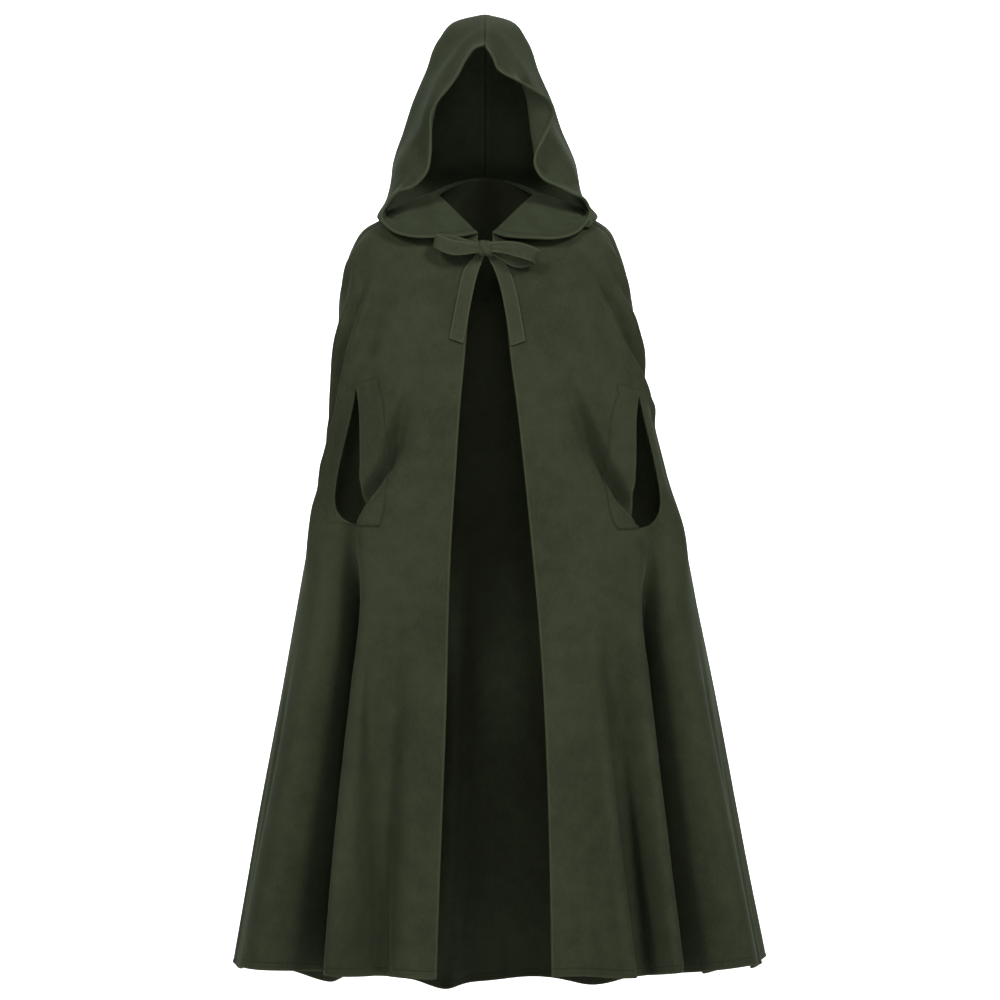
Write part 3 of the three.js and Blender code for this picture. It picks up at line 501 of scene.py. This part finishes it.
class Cloth:
    """Grids of points in millimetres, welded where they agree, then thickened to a closed shell."""

    def __init__(self):
        self.points, self.quads, self.marks, self.count = [], [], [], 0

    def grid(self, points, flip, marks):
        rows, columns = points.shape[:2]
        index = np.arange(rows * columns).reshape(rows, columns) + self.count
        quads = np.stack([index[:-1, :-1], index[1:, :-1], index[1:, 1:], index[:-1, 1:]], -1).reshape(-1, 4)
        self.quads.append(quads[:, ::-1] if flip else quads)
        self.points.append(points.reshape(-1, 3))
        self.marks.append(marks.reshape(-1, marks.shape[-1]))
        self.count += rows * columns
        return self

    def weld(self):
        points, marks = np.concatenate(self.points), np.concatenate(self.marks)
        quads = np.concatenate(self.quads)
        keys, first, inverse = np.unique(np.round(points, 4), axis=0, return_index=True, return_inverse=True)
        inverse = inverse.reshape(-1)
        self.points, self.marks, self.quads = points[first], marks[first], inverse[quads]
        return self

    def normals(self):
        p, q = self.points, self.quads
        face = np.cross(p[q[:, 2]] - p[q[:, 0]], p[q[:, 3]] - p[q[:, 1]])
        total = np.zeros_like(p)
        for k in range(4):
            np.add.at(total, q[:, k], face)
        return unit(total)

    def shell(self, thickness, lift=0.0, plane_x=None):
        """Both faces of the wall, and round its open edges a rim that is pushed out to a soft edge.

        thickness is one value or one for each point. With plane_x, points on the plane X = 0
        stay on the plane X = plane_x."""
        p, n, q = self.points, self.normals(), self.quads
        half = (np.zeros(len(p)) + thickness)[:, None] / 2
        on_plane = np.abs(p[:, 0]) < 0.02 if plane_x is not None else np.zeros(len(p), bool)
        n[on_plane, 0] = 0
        n = unit(n)
        edges = np.concatenate([q[:, [k, (k + 1) % 4]] for k in range(4)])
        keys = np.sort(edges, axis=1)
        _, back, uses = np.unique(keys, axis=0, return_inverse=True, return_counts=True)
        rim = edges[uses[back.reshape(-1)] == 1]
        rim = rim[rim[:, 0] != rim[:, 1]]
        push = np.zeros_like(p)
        side = np.cross(p[rim[:, 1]] - p[rim[:, 0]], n[rim[:, 0]])
        np.add.at(push, rim[:, 0], side)
        np.add.at(push, rim[:, 1], side)
        push = unit(push)
        push[on_plane] = 0
        edge_ids = np.unique(rim)
        place = np.full(len(p), -1)
        place[edge_ids] = np.arange(len(edge_ids)) + 2 * len(p)
        top, low = p + n * (lift + half), p + n * (lift - half)
        middle = (p + n * lift + push * half * 0.8)[edge_ids]
        vertices = np.concatenate([top, low, middle])
        if plane_x is not None:
            flat = np.concatenate([on_plane, on_plane, on_plane[edge_ids]])
            vertices[flat, 0] = plane_x
        a, b = rim[:, 0], rim[:, 1]
        count = len(p)
        faces = np.concatenate([
            q,
            q[:, ::-1] + count,
            np.stack([b, a, place[a], place[b]], -1),
            np.stack([place[b], place[a], a + count, b + count], -1),
        ])
        marks = np.concatenate([self.marks, self.marks, self.marks[edge_ids]])
        return vertices, faces, marks


def make_object(name, vertices, faces, material, marks=None):
    mesh = bpy.data.meshes.new(name)
    mesh.vertices.add(len(vertices))
    mesh.vertices.foreach_set("co", (vertices * MM).astype(np.float32).ravel())
    mesh.loops.add(faces.size)
    mesh.loops.foreach_set("vertex_index", faces.astype(np.int32).ravel())
    mesh.polygons.add(len(faces))
    mesh.polygons.foreach_set("loop_start", np.arange(0, faces.size, 4, dtype=np.int32))
    mesh.polygons.foreach_set("use_smooth", np.ones(len(faces), bool))
    mesh.update(calc_edges=True)
    mesh.validate()
    if marks is not None:
        for i, label in enumerate(("edge", "along", "seam")):
            layer = mesh.attributes.new(label, "FLOAT", "POINT")
            layer.data.foreach_set("value", marks[:, i].astype(np.float32).ravel())
    mesh.materials.append(material)
    thing = bpy.data.objects.new(name, mesh)
    bpy.context.scene.collection.objects.link(thing)
    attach(thing, "root")
    return thing


# ---------------------------------------------------------------- materials

class Shade:
    """A value in a node tree, with arithmetic."""

    def __init__(self, tree, socket):
        self.tree, self.socket = tree, socket

    def _join(self, operation, other, swap=False):
        node = self.tree.nodes.new("ShaderNodeMath")
        node.operation = operation
        pair = [self, other][::-1] if swap else [self, other]
        for socket, value in zip(node.inputs, pair):
            if isinstance(value, Shade):
                self.tree.links.new(value.socket, socket)
            elif value is not None:
                socket.default_value = value
        return Shade(self.tree, node.outputs[0])

    def __add__(self, other):
        return self._join("ADD", other)

    __radd__ = __add__

    def __sub__(self, other):
        return self._join("SUBTRACT", other)

    def __rsub__(self, other):
        return self._join("SUBTRACT", other, swap=True)

    def __mul__(self, other):
        return self._join("MULTIPLY", other)

    __rmul__ = __mul__

    def call(self, operation):
        return self._join(operation, None)

    def between(self, low, high):
        """0 below low, 1 above high, smooth between."""
        node = self.tree.nodes.new("ShaderNodeMapRange")
        node.interpolation_type = "SMOOTHSTEP"
        self.tree.links.new(self.socket, node.inputs["Value"])
        node.inputs["From Min"].default_value = low
        node.inputs["From Max"].default_value = high
        return Shade(self.tree, node.outputs["Result"])


class Surface:
    """A material under construction."""

    def __init__(self, name):
        self.material = bpy.data.materials.new(name)
        self.material.use_nodes = True
        self.tree = self.material.node_tree
        self.shader = self.tree.nodes["Principled BSDF"]
        self.place = self.node("ShaderNodeTexCoord").outputs["Object"]

    def node(self, kind, inputs=None, **settings):
        node = self.tree.nodes.new(kind)
        for key, value in settings.items():
            setattr(node, key, value)
        for key, value in (inputs or {}).items():
            self.feed(node.inputs[key], value)
        return node

    def feed(self, socket, value):
        if isinstance(value, Shade):
            self.tree.links.new(value.socket, socket)
        elif isinstance(value, bpy.types.NodeSocket):
            self.tree.links.new(value, socket)
        else:
            socket.default_value = value

    def noise(self, scale, detail=3.0, roughness=0.55, stretch_by=None):
        where = self.place
        if stretch_by is not None:
            node = self.node("ShaderNodeVectorMath", {0: where, 1: stretch_by}, operation="MULTIPLY")
            where = node.outputs[0]
        inputs = {"Vector": where, "Scale": scale, "Detail": detail, "Roughness": roughness}
        node = self.node("ShaderNodeTexNoise", inputs)
        return Shade(self.tree, node.outputs["Fac"])

    def mark(self, label):
        return Shade(self.tree, self.node("ShaderNodeAttribute", attribute_name=label).outputs["Fac"])

    def mix(self, factor, a, b):
        node = self.node("ShaderNodeMix", data_type="RGBA")
        self.feed(node.inputs[0], factor)
        self.feed(node.inputs[6], a)
        self.feed(node.inputs[7], b)
        return node.outputs[2]

    def bump(self, height, distance, strength, below=None):
        node = self.node("ShaderNodeBump", {"Height": height, "Distance": distance, "Strength": strength})
        if below is not None:
            self.feed(node.inputs["Normal"], below)
        return node.outputs["Normal"]


STITCH_LENGTH = 0.0034


def rgb(red, green, blue):
    return (red, green, blue, 1.0)


def wool(name, lit, dark, centre_seam=False):
    """Milled wool: short nap over a faint twill, cloudy colour, a stitched line along its hems, a painted
    highlight on its free edges and painted shade in the stitched groove.
    """
    s = Surface(name)
    clouds = s.noise(5.0, 4.0)
    patches = s.noise(34.0, 3.0)
    nap = s.noise(900.0, 3.0, 0.7)
    fibres = s.noise(420.0, 4.0, 0.65, (1.0, 1.0, 0.35))
    edge, along, line = s.mark("edge"), s.mark("along"), s.mark("seam")
    colour = s.mix((clouds * 0.6 + patches * 0.4).between(0.36, 0.66), dark, lit)
    colour = s.mix(fibres.between(0.42, 0.72) * 0.22, colour, rgb(*[min(1.0, 1.9 * v) for v in lit[:3]]))
    # Painted highlight: the cloth is lightened within a few millimetres of its free edges, where the rolled hems
    # catch the light.
    edge_highlight = 1.0 - edge.between(0.0, 0.0035)
    colour = s.mix(edge_highlight * 0.5, colour, rgb(*[min(1.0, 1.7 * v) for v in lit[:3]]))
    groove = 1.0 - line.between(0.0004, 0.0022)
    stitch = (along * (2 * math.pi / STITCH_LENGTH)).call("SINE").between(-0.2, 0.4)
    thread = (1.0 - line.between(0.0003, 0.0007)) * stitch
    # Painted shade: the colour is darkened along the stitched groove, on top of the groove's bump below.
    colour = s.mix(groove * 0.35, colour, rgb(*[0.45 * v for v in lit[:3]]))
    colour = s.mix(thread * 0.5, colour, rgb(*[1.5 * v for v in lit[:3]]))
    if centre_seam:
        split = s.node("ShaderNodeSeparateXYZ", {0: s.place})
        beside = Shade(s.tree, split.outputs["X"]).call("ABSOLUTE")
        colour = s.mix((1.0 - beside.between(0.0004, 0.0016)) * 0.8, colour, rgb(*[0.35 * v for v in lit[:3]]))
        # Painted highlight: a lighter band on the raised allowance beside the centre seam. The seam itself is
        # drawn as a darker line.
        rise = beside.between(0.0015, 0.003) * (1.0 - beside.between(0.006, 0.009))
        colour = s.mix(rise * 0.12, colour, rgb(*[1.8 * v for v in lit[:3]]))
    s.feed(s.shader.inputs["Base Color"], colour)
    s.feed(s.shader.inputs["Roughness"], 0.82 + fibres * 0.14)
    twill = s.node("ShaderNodeTexWave", {"Vector": s.place, "Scale": 260.0, "Distortion": 1.2, "Detail": 2.0},
                   wave_type="BANDS", bands_direction="DIAGONAL")
    weave = Shade(s.tree, twill.outputs["Fac"])
    fine = s.bump(nap * 0.7 + weave * 0.3, 0.0006, 0.55)
    soft = s.bump(patches, 0.0016, 0.3, fine)
    seams = s.bump(1.0 - groove + thread * 0.6, 0.0012, 0.8, soft)
    s.feed(s.shader.inputs["Normal"], seams)
    s.shader.inputs["Sheen Weight"].default_value = 0.05
    s.shader.inputs["Sheen Roughness"].default_value = 0.42
    s.shader.inputs["Sheen Tint"].default_value = rgb(0.62, 0.78, 0.5)
    s.shader.inputs["Specular IOR Level"].default_value = 0.08
    return s.material


LIT = rgb(0.0200, 0.0240, 0.0125)
DARK = rgb(0.0142, 0.0170, 0.0090)
front_wool = wool("front_wool", LIT, DARK)
back_wool = wool("back_wool", LIT, DARK)
# The hood's colours are a lighter copy of the same wool: painted light on the top of the cloak.
hood_wool = wool("hood_wool", rgb(0.0215, 0.0262, 0.0142), rgb(0.0152, 0.0186, 0.0102), centre_seam=True)
welt_wool = wool("welt_wool", LIT, DARK)
tie_wool = wool("tie_wool", rgb(0.0250, 0.0290, 0.0160), rgb(0.0180, 0.0210, 0.0118))

# In metres: how far stitched lines lie from their edges, and a distance that no line reaches.
HEM_STITCH, WELT_STITCH, HOOD_STITCH = 0.012, 0.0006, 0.0085
FAR = 0.5

# How far the thicker turned rim of a panel reaches in, and metres of hem to a radian, both in metres.
RIM_REACH = 0.004
HEM_SPREAD = 0.43


# ---------------------------------------------------------------- cape

def runs_of(slit, step):
    """Rows from neck to hem, closer at both ends, with the slit's ends on rows."""
    knots = [0, 12, slit["top"], slit["end"], HEM_RUN - 30, HEM_RUN]
    steps = [step / 2, step, step * 0.8, step, step / 1.6]
    parts = [np.linspace(a, b, max(2, int(round((b - a) / s))) + 1)[:-1]
             for a, b, s in zip(knots[:-1], knots[1:], steps)]
    return np.concatenate(parts + [[HEM_RUN]])


def cape_grid(cloth, side, name, runs, places):
    """Points of a stretch, and marks: distance to the nearest edge, along it, and to the stitched line."""
    start, stop = stretch(side, name, runs)
    angle = start[:, None] + (stop - start)[:, None] * places[None, :]
    run = runs[:, None] + 0 * angle
    points = cape(side, angle, run)
    to_hem = (HEM_RUN - run) * MM
    edge = to_hem
    along = np.radians(angle) * HEM_SPREAD
    if name == "face":
        across = np.linalg.norm(np.diff(points, axis=1), axis=-1)
        from_front = np.concatenate([np.zeros((len(runs), 1)), np.cumsum(across, axis=1)], axis=1) * MM
        edge = np.minimum(to_hem, from_front)
        along = np.where(from_front < to_hem, run * MM, along)
    cloth.grid(points, side < 0, np.stack([edge, along, np.abs(to_hem - HEM_STITCH)], -1))


def front_panel(side, label):
    cloth = Cloth()
    runs = runs_of(SLITS[side], 6.0)
    cape_grid(cloth, side, "face", runs, even_places(side, "face", 74))
    cape_grid(cloth, side, "band", runs, np.linspace(0, 1, 13))
    cape_grid(cloth, side, "rear", runs, even_places(side, "rear", 66))
    cloth.weld()
    rim = 1.0 + 0.9 * np.exp(-(cloth.marks[:, 0] / RIM_REACH) ** 2)
    vertices, faces, marks = cloth.shell(CLOTH * rim)
    return make_object(f"front_panel_{label}_cloth", vertices, faces, front_wool, marks)


def back_panel():
    cloth = Cloth()
    for side in (-1, 1):
        cape_grid(cloth, side, "back", runs_of(SLITS[-1], 7.0), even_places(side, "back", 100))
    cloth.weld()
    rim = 1.0 + 0.9 * np.exp(-(cloth.marks[:, 0] / RIM_REACH) ** 2)
    vertices, faces, marks = cloth.shell(CLOTH * rim)
    return make_object("back_panel_cloth", vertices, faces, back_wool, marks)


def slit_welt(side, label):
    """The band beside the slit, moved out, with a soft raised middle between its stitched edges."""
    slit = SLITS[side]
    v, u = np.meshgrid(np.linspace(0, 1, 80), np.linspace(0, 1, 22), indexing="ij")
    top = slit["top"] - WELT_SLANT * (1 - u)
    run = top + (slit["end"] - top) * v
    start, stop = stretch(side, "band", run)
    points = cape(side, start + (stop - start) * u, run)
    length = (slit["end"] - slit["top"]) * MM
    ends = np.minimum(v, 1 - v) * length
    sides = np.minimum(u, 1 - u) * WELT_WIDTH * MM
    edge = np.minimum(ends, sides)
    sewn = np.minimum(ends, u * WELT_WIDTH * MM)
    along = np.where(ends < sides, u * WELT_WIDTH * MM, v * length)
    # The seam mark puts painted shade along the welt's stitched edges; only its free slit edge gets the painted
    # edge highlight.
    marks = np.stack([np.where(edge < sewn, edge, FAR), along, np.maximum(sewn - WELT_STITCH, 0)], -1)
    cloth = Cloth().grid(points, side < 0, marks).weld()
    puff = 1.0 + 0.5 * ramp(cloth.marks[:, 2] / 0.008)
    lift = CLOTH / 2 + 0.35 + WELT_CLOTH * 0.6
    vertices, faces, marks = cloth.shell(WELT_CLOTH * puff * 0.8, lift)
    return make_object(f"slit_welt_{label}_cloth", vertices, faces, welt_wool, marks)


# ---------------------------------------------------------------- hood

def hood_line(side, place, name):
    """One line up the hood: first along the shoulder it rests on, then through the body's table."""
    angle, reach = HOOD_FLOOR[place]
    share = np.array([0.0, 0.5, 1.0])
    at = np.full(3, float(angle))
    run = reach * share
    normal = outward(side, cape_drape, at, np.clip(run, 0.1, HEM_RUN - 0.1))
    low = cape_drape(side, at, run) + normal * (CAD_CLOTH + 0.3 + HOOD_LIFT * share ** 0.5)[:, None]
    low[:, 0] = np.abs(low[:, 0])
    slim = 1 - HOOD_BODY["slim"] if side > 0 else 1.0
    body = np.stack([HOOD_BODY[f"{name}_x"] * slim, HOOD_BODY[f"{name}_y"], HOOD_BODY[f"{name}_z"]], -1)
    return np.concatenate([HOOD_FLOOR_TOP * share, HOOD_BODY["up"]]), np.concatenate([low, body])


def hood_patch(side, up, around):
    """A surface through six lines: front edge, line behind it, cheek, side, back, centre seam."""
    edge = HOOD_EDGES[side]
    lines = [
        (edge["up"], np.stack([edge["x"], edge["y"], edge["z"]], -1)),
        (edge["up"], np.stack([edge["lip_x"], edge["lip_y"], edge["lip_z"]], -1)),
        hood_line(side, 0.2, "cheek"),
        hood_line(side, 0.38, "side"),
        hood_line(side, 0.68, "back"),
        hood_line(side, 1.0, "seam"),
    ]
    knots = np.array([0, 0.07, 0.2, 0.38, 0.68, 1.0])
    out = []
    for axis in range(3):
        columns = [through(k, v[:, axis], up) for k, v in lines]
        values = np.stack(columns)
        out.append(np.stack([through(knots, values[:, i], around) for i in range(len(up))]))
    points = np.stack(out, -1)
    points[..., 0] *= side
    return points


def rest_on_cape(side, points, distance):
    """Lifts points that lie nearer to the cape than the given distance, along its normal."""
    def angle_at(run):
        width = ring("right" if side < 0 else "left", run)
        depth = np.where(points[:, 1] < 0, ring("front", run), ring("back", run))
        return np.degrees(np.arctan2(np.abs(points[:, 0]) / width, -points[:, 1] / depth))

    best = np.zeros(len(points))
    nearest = np.full(len(points), np.inf)
    for step, tries in ((10.0, range(27)), (4.0, range(-2, 3)), (1.5, range(-2, 3)), (0.5, range(-2, 3))):
        centre = best.copy()
        for k in tries:
            run = np.clip(centre + k * step, 0, 260)
            gap = np.linalg.norm(cape_drape(side, angle_at(run), run) - points, axis=1)
            better = gap < nearest
            nearest[better], best[better] = gap[better], run[better]
    angle = angle_at(best)
    normal = outward(side, cape_drape, angle, np.maximum(best, 0.1))
    height = np.sum((points - cape_drape(side, angle, best)) * normal, axis=1)
    return points + normal * np.maximum(distance - height, 0)[:, None]


def hood_creases(side, up, around):
    total = np.zeros_like(up)
    for row in HOOD_FOLDS:
        f = dict(zip(HOOD_FOLD_COLUMNS, row))
        if f["side"] != side:
            continue
        du, da = f["up_b"] - f["up_a"], f["around_b"] - f["around_a"]
        share = ((up - f["up_a"]) * du + (around - f["around_a"]) * da) / (du * du + da * da)
        off = np.abs((up - f["up_a"]) * da - (around - f["around_a"]) * du) / math.hypot(du, da)
        ends = ramp((share + 0.15) / 0.35) * (1 - ramp((share - 0.75) / 0.4))
        total += f["height"] * ends * np.exp(-(off / f["width"]) ** 2)
    return total


def hood_half(side, label):
    rows, columns = 190, 130
    up = np.linspace(0, 1, rows)
    around = np.linspace(0, 1, columns) ** 1.15
    points = hood_patch(side, up, around)
    start = front_edge_angle(side, 0.0)
    ring_angle = start + (180 - start) * around
    zero = np.zeros(columns)
    neck = cape_drape(side, ring_angle, zero)
    neck = neck + outward(side, cape_drape, ring_angle, zero + 0.1) * (CAD_CLOTH + NECK_GAP)
    fade = np.maximum(0, 1 - up / (HOOD_FLOOR_TOP / 2)) ** 2
    points = points + (neck - points[0])[None] * fade[:, None, None]
    u, a = up[:, None] + 0 * around[None, :], around[None, :] + 0 * up[:, None]
    across = np.gradient(points, axis=1)
    rising = np.gradient(points, axis=0)
    normal = unit(np.cross(across, rising) * side)
    calm = ramp(u / 0.08) * ramp((1 - u) / 0.05) * ramp((1 - a) / 0.06) * ramp(a / 0.03)
    groove = -0.9 * np.exp(-(points[..., 0] / 2.6) ** 2) * ramp((u + a - 0.4) / 0.4)
    points = points + normal * (hood_creases(side, u, a) * calm + groove)[..., None]
    low = (u > 0) & (points[..., 2] < 60)
    rise = (CAD_CLOTH + NECK_GAP + HOOD_REST * ramp(u / 0.05))[low]
    points[low] = rest_on_cape(side, points[low], rise)
    seam = (u >= 1) | (a >= 1)
    points[..., 0] = np.where(seam, 0.0, points[..., 0])
    steps = np.linalg.norm(np.diff(points, axis=1), axis=-1)
    from_edge = np.concatenate([np.zeros((rows, 1)), np.cumsum(steps, axis=1)], axis=1) * MM
    walk = np.concatenate([[0], np.cumsum(np.linalg.norm(np.diff(points[:, 0], axis=0), axis=1))]) * MM
    marks = np.stack([from_edge, walk[:, None] + 0 * a, np.abs(from_edge - HOOD_STITCH)], -1)
    cloth = Cloth().grid(points, side < 0, marks).weld()
    bead = 1.0 + 1.5 * np.exp(-(cloth.marks[:, 0] / 0.0045) ** 2)
    vertices, faces, marks = cloth.shell(CLOTH * bead, plane_x=-side * 0.05)
    return make_object(f"hood_half_{label}_cloth", vertices, faces, hood_wool, marks)


# ---------------------------------------------------------------- tie

# Over how many millimetres from the knot a strap's creases die out.
KNOT_PINCH = 14.0
STRAP_COLUMNS = ["x", "y", "z", "lean", "slope", "width"]
STRAPS = {
    "tie_loop_right": [
        [-8, -127, -96.9, -3, 4, 15], [-21.3, -131, -97.1, -3, 4, 18],
        [-36.3, -135, -97.3, -2, 2, 22], [-53, -138, -96.7, 2, 0, STRAP],
        [-68.1, -138, -91.6, 9, -4, STRAP], [-79.3, -134.5, -86.4, 13, -6, 22],
        [-83.2, -129.5, -84.2, 13, -6, 21], [-78.3, -125, -83.9, 9, -4, 21],
        [-63.2, -122.5, -85.4, 1, 0, 21], [-44.8, -121.5, -88.2, -4, 0, 20],
        [-26.4, -120, -92.3, -6, 0, 18], [-9.7, -118, -95.6, -6, 0, 15],
    ],
    "tie_loop_left": [
        [8.8, -127, -95.2, 5, 5, 15], [22.2, -131, -95.4, 5, 5, 18],
        [37.2, -138, -96.7, 8, 6, 21], [55.5, -144, -100.3, 14, 6, STRAP],
        [72.2, -146, -105.4, 20, 4, STRAP], [83.9, -142.5, -110.3, 24, 0, 22],
        [87.3, -136, -113.3, 24, -4, 22], [82.4, -129.5, -115.4, 22, -8, 22],
        [65.7, -126, -117.8, 14, -10, STRAP], [45.6, -124, -116, 2, -8, 22],
        [28.8, -121, -109.1, -8, -4, 18], [10.4, -118.5, -99.8, -10, 0, 15],
    ],
    "tie_tail_right": [
        [-7, -116, -106.4, -64, 4, 12], [-12.2, -115.5, -116.4, -67, 4, 15],
        [-18.9, -117, -126.5, -73, 4, 20], [-25.6, -121.5, -141.8, -76, 4, STRAP],
        [-32.2, -128, -170.6, -78, 3, STRAP], [-40.5, -138.5, -214.5, -77, 2, STRAP],
        [-47.4, -145, -252.3, -70, 2, STRAP],
    ],
    "tie_tail_left": [
        [9.8, -116, -106.4, 64, 4, 12], [16.3, -115, -115.5, 64, 4, 15],
        [24.7, -116.5, -126.5, 70, 4, 20], [32.7, -121, -143.5, 75, 4, 23],
        [40.6, -128, -170.6, 78, 3, STRAP], [48.9, -138.5, -214.5, 79, 2, STRAP],
        [55.9, -145.5, -256.5, 71, 2, STRAP],
    ],
    "tie_root_right": [[-17, -99.5, -87, 0, 0, 12], [-14, -105, -89, 0, 0, 12], [-6, -115, -94, 0, 0, 12]],
    "tie_root_left": [[17.5, -100, -88, 0, 0, 12], [14, -105, -90, 0, 0, 12], [6, -115, -95, 0, 0, 12]],
}


def strap(name, steps, both_ends=False):
    """A flat strap through its stations; creases fan out from the ends that go into the knot."""
    rows = np.array(STRAPS[name], float)
    knots = np.arange(len(rows), dtype=float)
    at = np.linspace(0, len(rows) - 1, steps)
    columns = {c: through(knots, rows[:, i], at) for i, c in enumerate(STRAP_COLUMNS)}
    centre = np.stack([columns["x"], columns["y"], columns["z"]], -1)
    lean, slope = np.radians(columns["lean"]), np.radians(columns["slope"])
    direction = np.stack([np.sin(lean) * np.cos(slope), np.sin(slope), np.cos(lean) * np.cos(slope)], -1)
    across = np.linspace(-0.5, 0.5, 23)
    points = centre[:, None] + direction[:, None] * (columns["width"][:, None] * across[None, :])[..., None]
    walk = np.concatenate([[0], np.cumsum(np.linalg.norm(np.diff(centre, axis=0), axis=1))])
    pinch = np.exp(-walk / KNOT_PINCH)
    if both_ends:
        pinch = pinch + np.exp(-(walk[-1] - walk) / KNOT_PINCH)
    normal = unit(np.cross(np.gradient(points, axis=0), np.gradient(points, axis=1)))
    ripple = np.cos(across * 2 * math.pi * 2.2 + 0.6)[None, :] * pinch[:, None] * 1.3
    sag = 0.5 * np.sin(walk / 17.0)[:, None] * np.cos(across * 3.0)[None, :]
    points = points + normal * (ripple + sag)[..., None]
    reach = (0.5 - np.abs(across))[None, :] * columns["width"][:, None] * MM
    end = (walk[-1] - walk)[:, None] * MM + 0 * reach
    edge = reach if both_ends else np.minimum(reach, end)
    along = walk[:, None] * MM + 0 * reach
    cloth = Cloth().grid(points, False, np.stack([edge, along, FAR + 0 * edge], -1)).weld()
    puff = 0.75 + 0.35 * ramp(cloth.marks[:, 0] / 0.003)
    vertices, faces, marks = cloth.shell(TIE_CLOTH * puff)
    return make_object(f"{name}_cloth", vertices, faces, tie_wool, marks), walk[-1]


KNOT_CENTRE = np.array([0.4, -122.0, -97.0])
KNOT_HALF = np.array([14.0, 11.0, 14.0])


def knot():
    """A drawn knot: a rounded lump wound by a slanting band, its faces creased toward the straps."""
    rows, columns = 90, 120
    rise = np.linspace(-0.5, 0.5, rows + 1)[:, None] * math.pi * 0.998
    turn = np.linspace(0, 2 * math.pi, columns, endpoint=False)[None, :]

    def soft(value, power):
        return np.sign(value) * np.abs(value) ** power

    x = soft(np.cos(rise), 0.6) * soft(np.cos(turn), 0.8)
    y = soft(np.cos(rise), 0.6) * soft(np.sin(turn), 0.8)
    z = soft(np.sin(rise), 0.8) + 0 * turn
    points = np.stack([x, y, z], -1) * KNOT_HALF
    slant = points[..., 0] * 0.84 + points[..., 2] * 0.54
    radial = unit(points)
    band = np.exp(-((slant - 1.0) / 6.5) ** 4)
    crease = np.exp(-((slant - 8.6) / 1.1) ** 2) + np.exp(-((slant + 6.8) / 1.1) ** 2)
    ribs = 0.45 * np.cos(slant * 1.15 + 0.8 * np.sin(points[..., 2] * 0.2))
    front = ramp((-points[..., 1] + 6) / 10)
    points = points * 0.93 + radial * (0.9 * band + ribs * band * front - 1.6 * crease * front)[..., None]
    points = points + KNOT_CENTRE
    count = rows * columns
    index = np.arange((rows + 1) * columns).reshape(rows + 1, columns)
    right = np.roll(index, -1, axis=1)
    faces = np.stack([index[:-1], right[:-1], right[1:], index[1:]], -1).reshape(-1, 4)
    flat = points.reshape(-1, 3)
    low, high = len(flat), len(flat) + 1
    flat = np.concatenate([flat, [points[0].mean(0)], [points[-1].mean(0)]])
    caps = []
    for j in range(0, columns, 2):
        k, m = (j + 1) % columns, (j + 2) % columns
        caps.append([low, index[0][m], index[0][k], index[0][j]])
        caps.append([high, index[-1][j], index[-1][k], index[-1][m]])
    faces = np.concatenate([faces, np.array(caps)])
    marks = np.tile([FAR, 0.0, FAR], (len(flat), 1))
    return make_object("tie_knot_cloth", flat, faces, tie_wool, marks)


# ---------------------------------------------------------------- assembly

back = back_panel()
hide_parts("back_panel")

for side, label in ((-1, "right"), (1, "left")):
    panel = front_panel(side, label)
    node = f"front_panel_{label}"
    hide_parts(node)

    welt = slit_welt(side, label)
    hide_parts(f"slit_welt_{label}")

    hood = hood_half(side, label)
    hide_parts(f"hood_half_{label}")

knot_piece = knot()
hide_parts("tie_knot")
for label in ("right", "left"):
    for part, steps, both in (("loop", 150, True), ("tail", 90, False), ("root", 16, True)):
        name = f"tie_{part}_{label}"
        piece, length = strap(name, steps, both)
        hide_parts(name)


# ---------------------------------------------------------------- room and light

def make_room():
    """A pale floor that curves up into a backdrop behind the object."""
    depth, bend, height = 8.2, 1.2, 8.0
    profile = [(-12.0, FLOOR_Z)]
    for k in range(13):
        a = math.pi / 2 * k / 12
        profile.append((depth + bend * math.sin(a), FLOOR_Z + bend * (1 - math.cos(a))))
    profile.append((depth + bend, height))
    vertices = [(x, y, z) for y, z in profile for x in (-12.0, 12.0)]
    faces = [(2 * i, 2 * i + 1, 2 * i + 3, 2 * i + 2) for i in range(len(profile) - 1)]
    mesh = bpy.data.meshes.new("floor")
    mesh.from_pydata(vertices, [], faces)
    for polygon in mesh.polygons:
        polygon.use_smooth = True
    s = Surface("pale_paper")
    grain = s.noise(60.0, 2.0)
    s.feed(s.shader.inputs["Base Color"], s.mix(grain, rgb(0.93, 0.93, 0.93), rgb(0.95, 0.95, 0.95)))
    s.feed(s.shader.inputs["Roughness"], 0.9 + grain * 0.05)
    mesh.materials.append(s.material)
    floor = bpy.data.objects.new("floor", mesh)
    bpy.context.scene.collection.objects.link(floor)


make_room()
world = bpy.data.worlds.new("room")
bpy.context.scene.world = world
world.use_nodes = True
world.node_tree.nodes["Background"].inputs["Color"].default_value = (1.0, 1.0, 1.0, 1.0)
world.node_tree.nodes["Background"].inputs["Strength"].default_value = 0.08
bpy.context.scene.view_settings.view_transform = "Standard"
area_light("soft_right", (2.7, -3.9, 3.3), (0.0, 0.0, -0.4), (1.2, 1.2), 340.0)
area_light("soft_left", (-2.8, -3.9, 3.2), (0.0, 0.0, -0.4), (1.2, 1.2), 285.0)
area_light("front", (0.2, -5.0, 1.0), (0.0, 0.0, -0.8), (1.0, 1.0), 45.0)
area_light("backdrop_left", (-3.4, 4.6, 2.2), (0.0, 7.6, -1.2), (2.0, 2.0), 420.0)
area_light("backdrop_right", (3.4, 4.6, 2.2), (0.0, 7.6, -1.2), (2.0, 2.0), 420.0)
area_light("floor_behind", (0.0, 2.6, 3.6), (0.0, 3.4, FLOOR_Z), (3.0, 1.5), 120.0)
area_light("back_fill", (0.6, 6.4, 3.6), (0.0, 0.0, -0.6), (1.5, 1.5), 70.0)
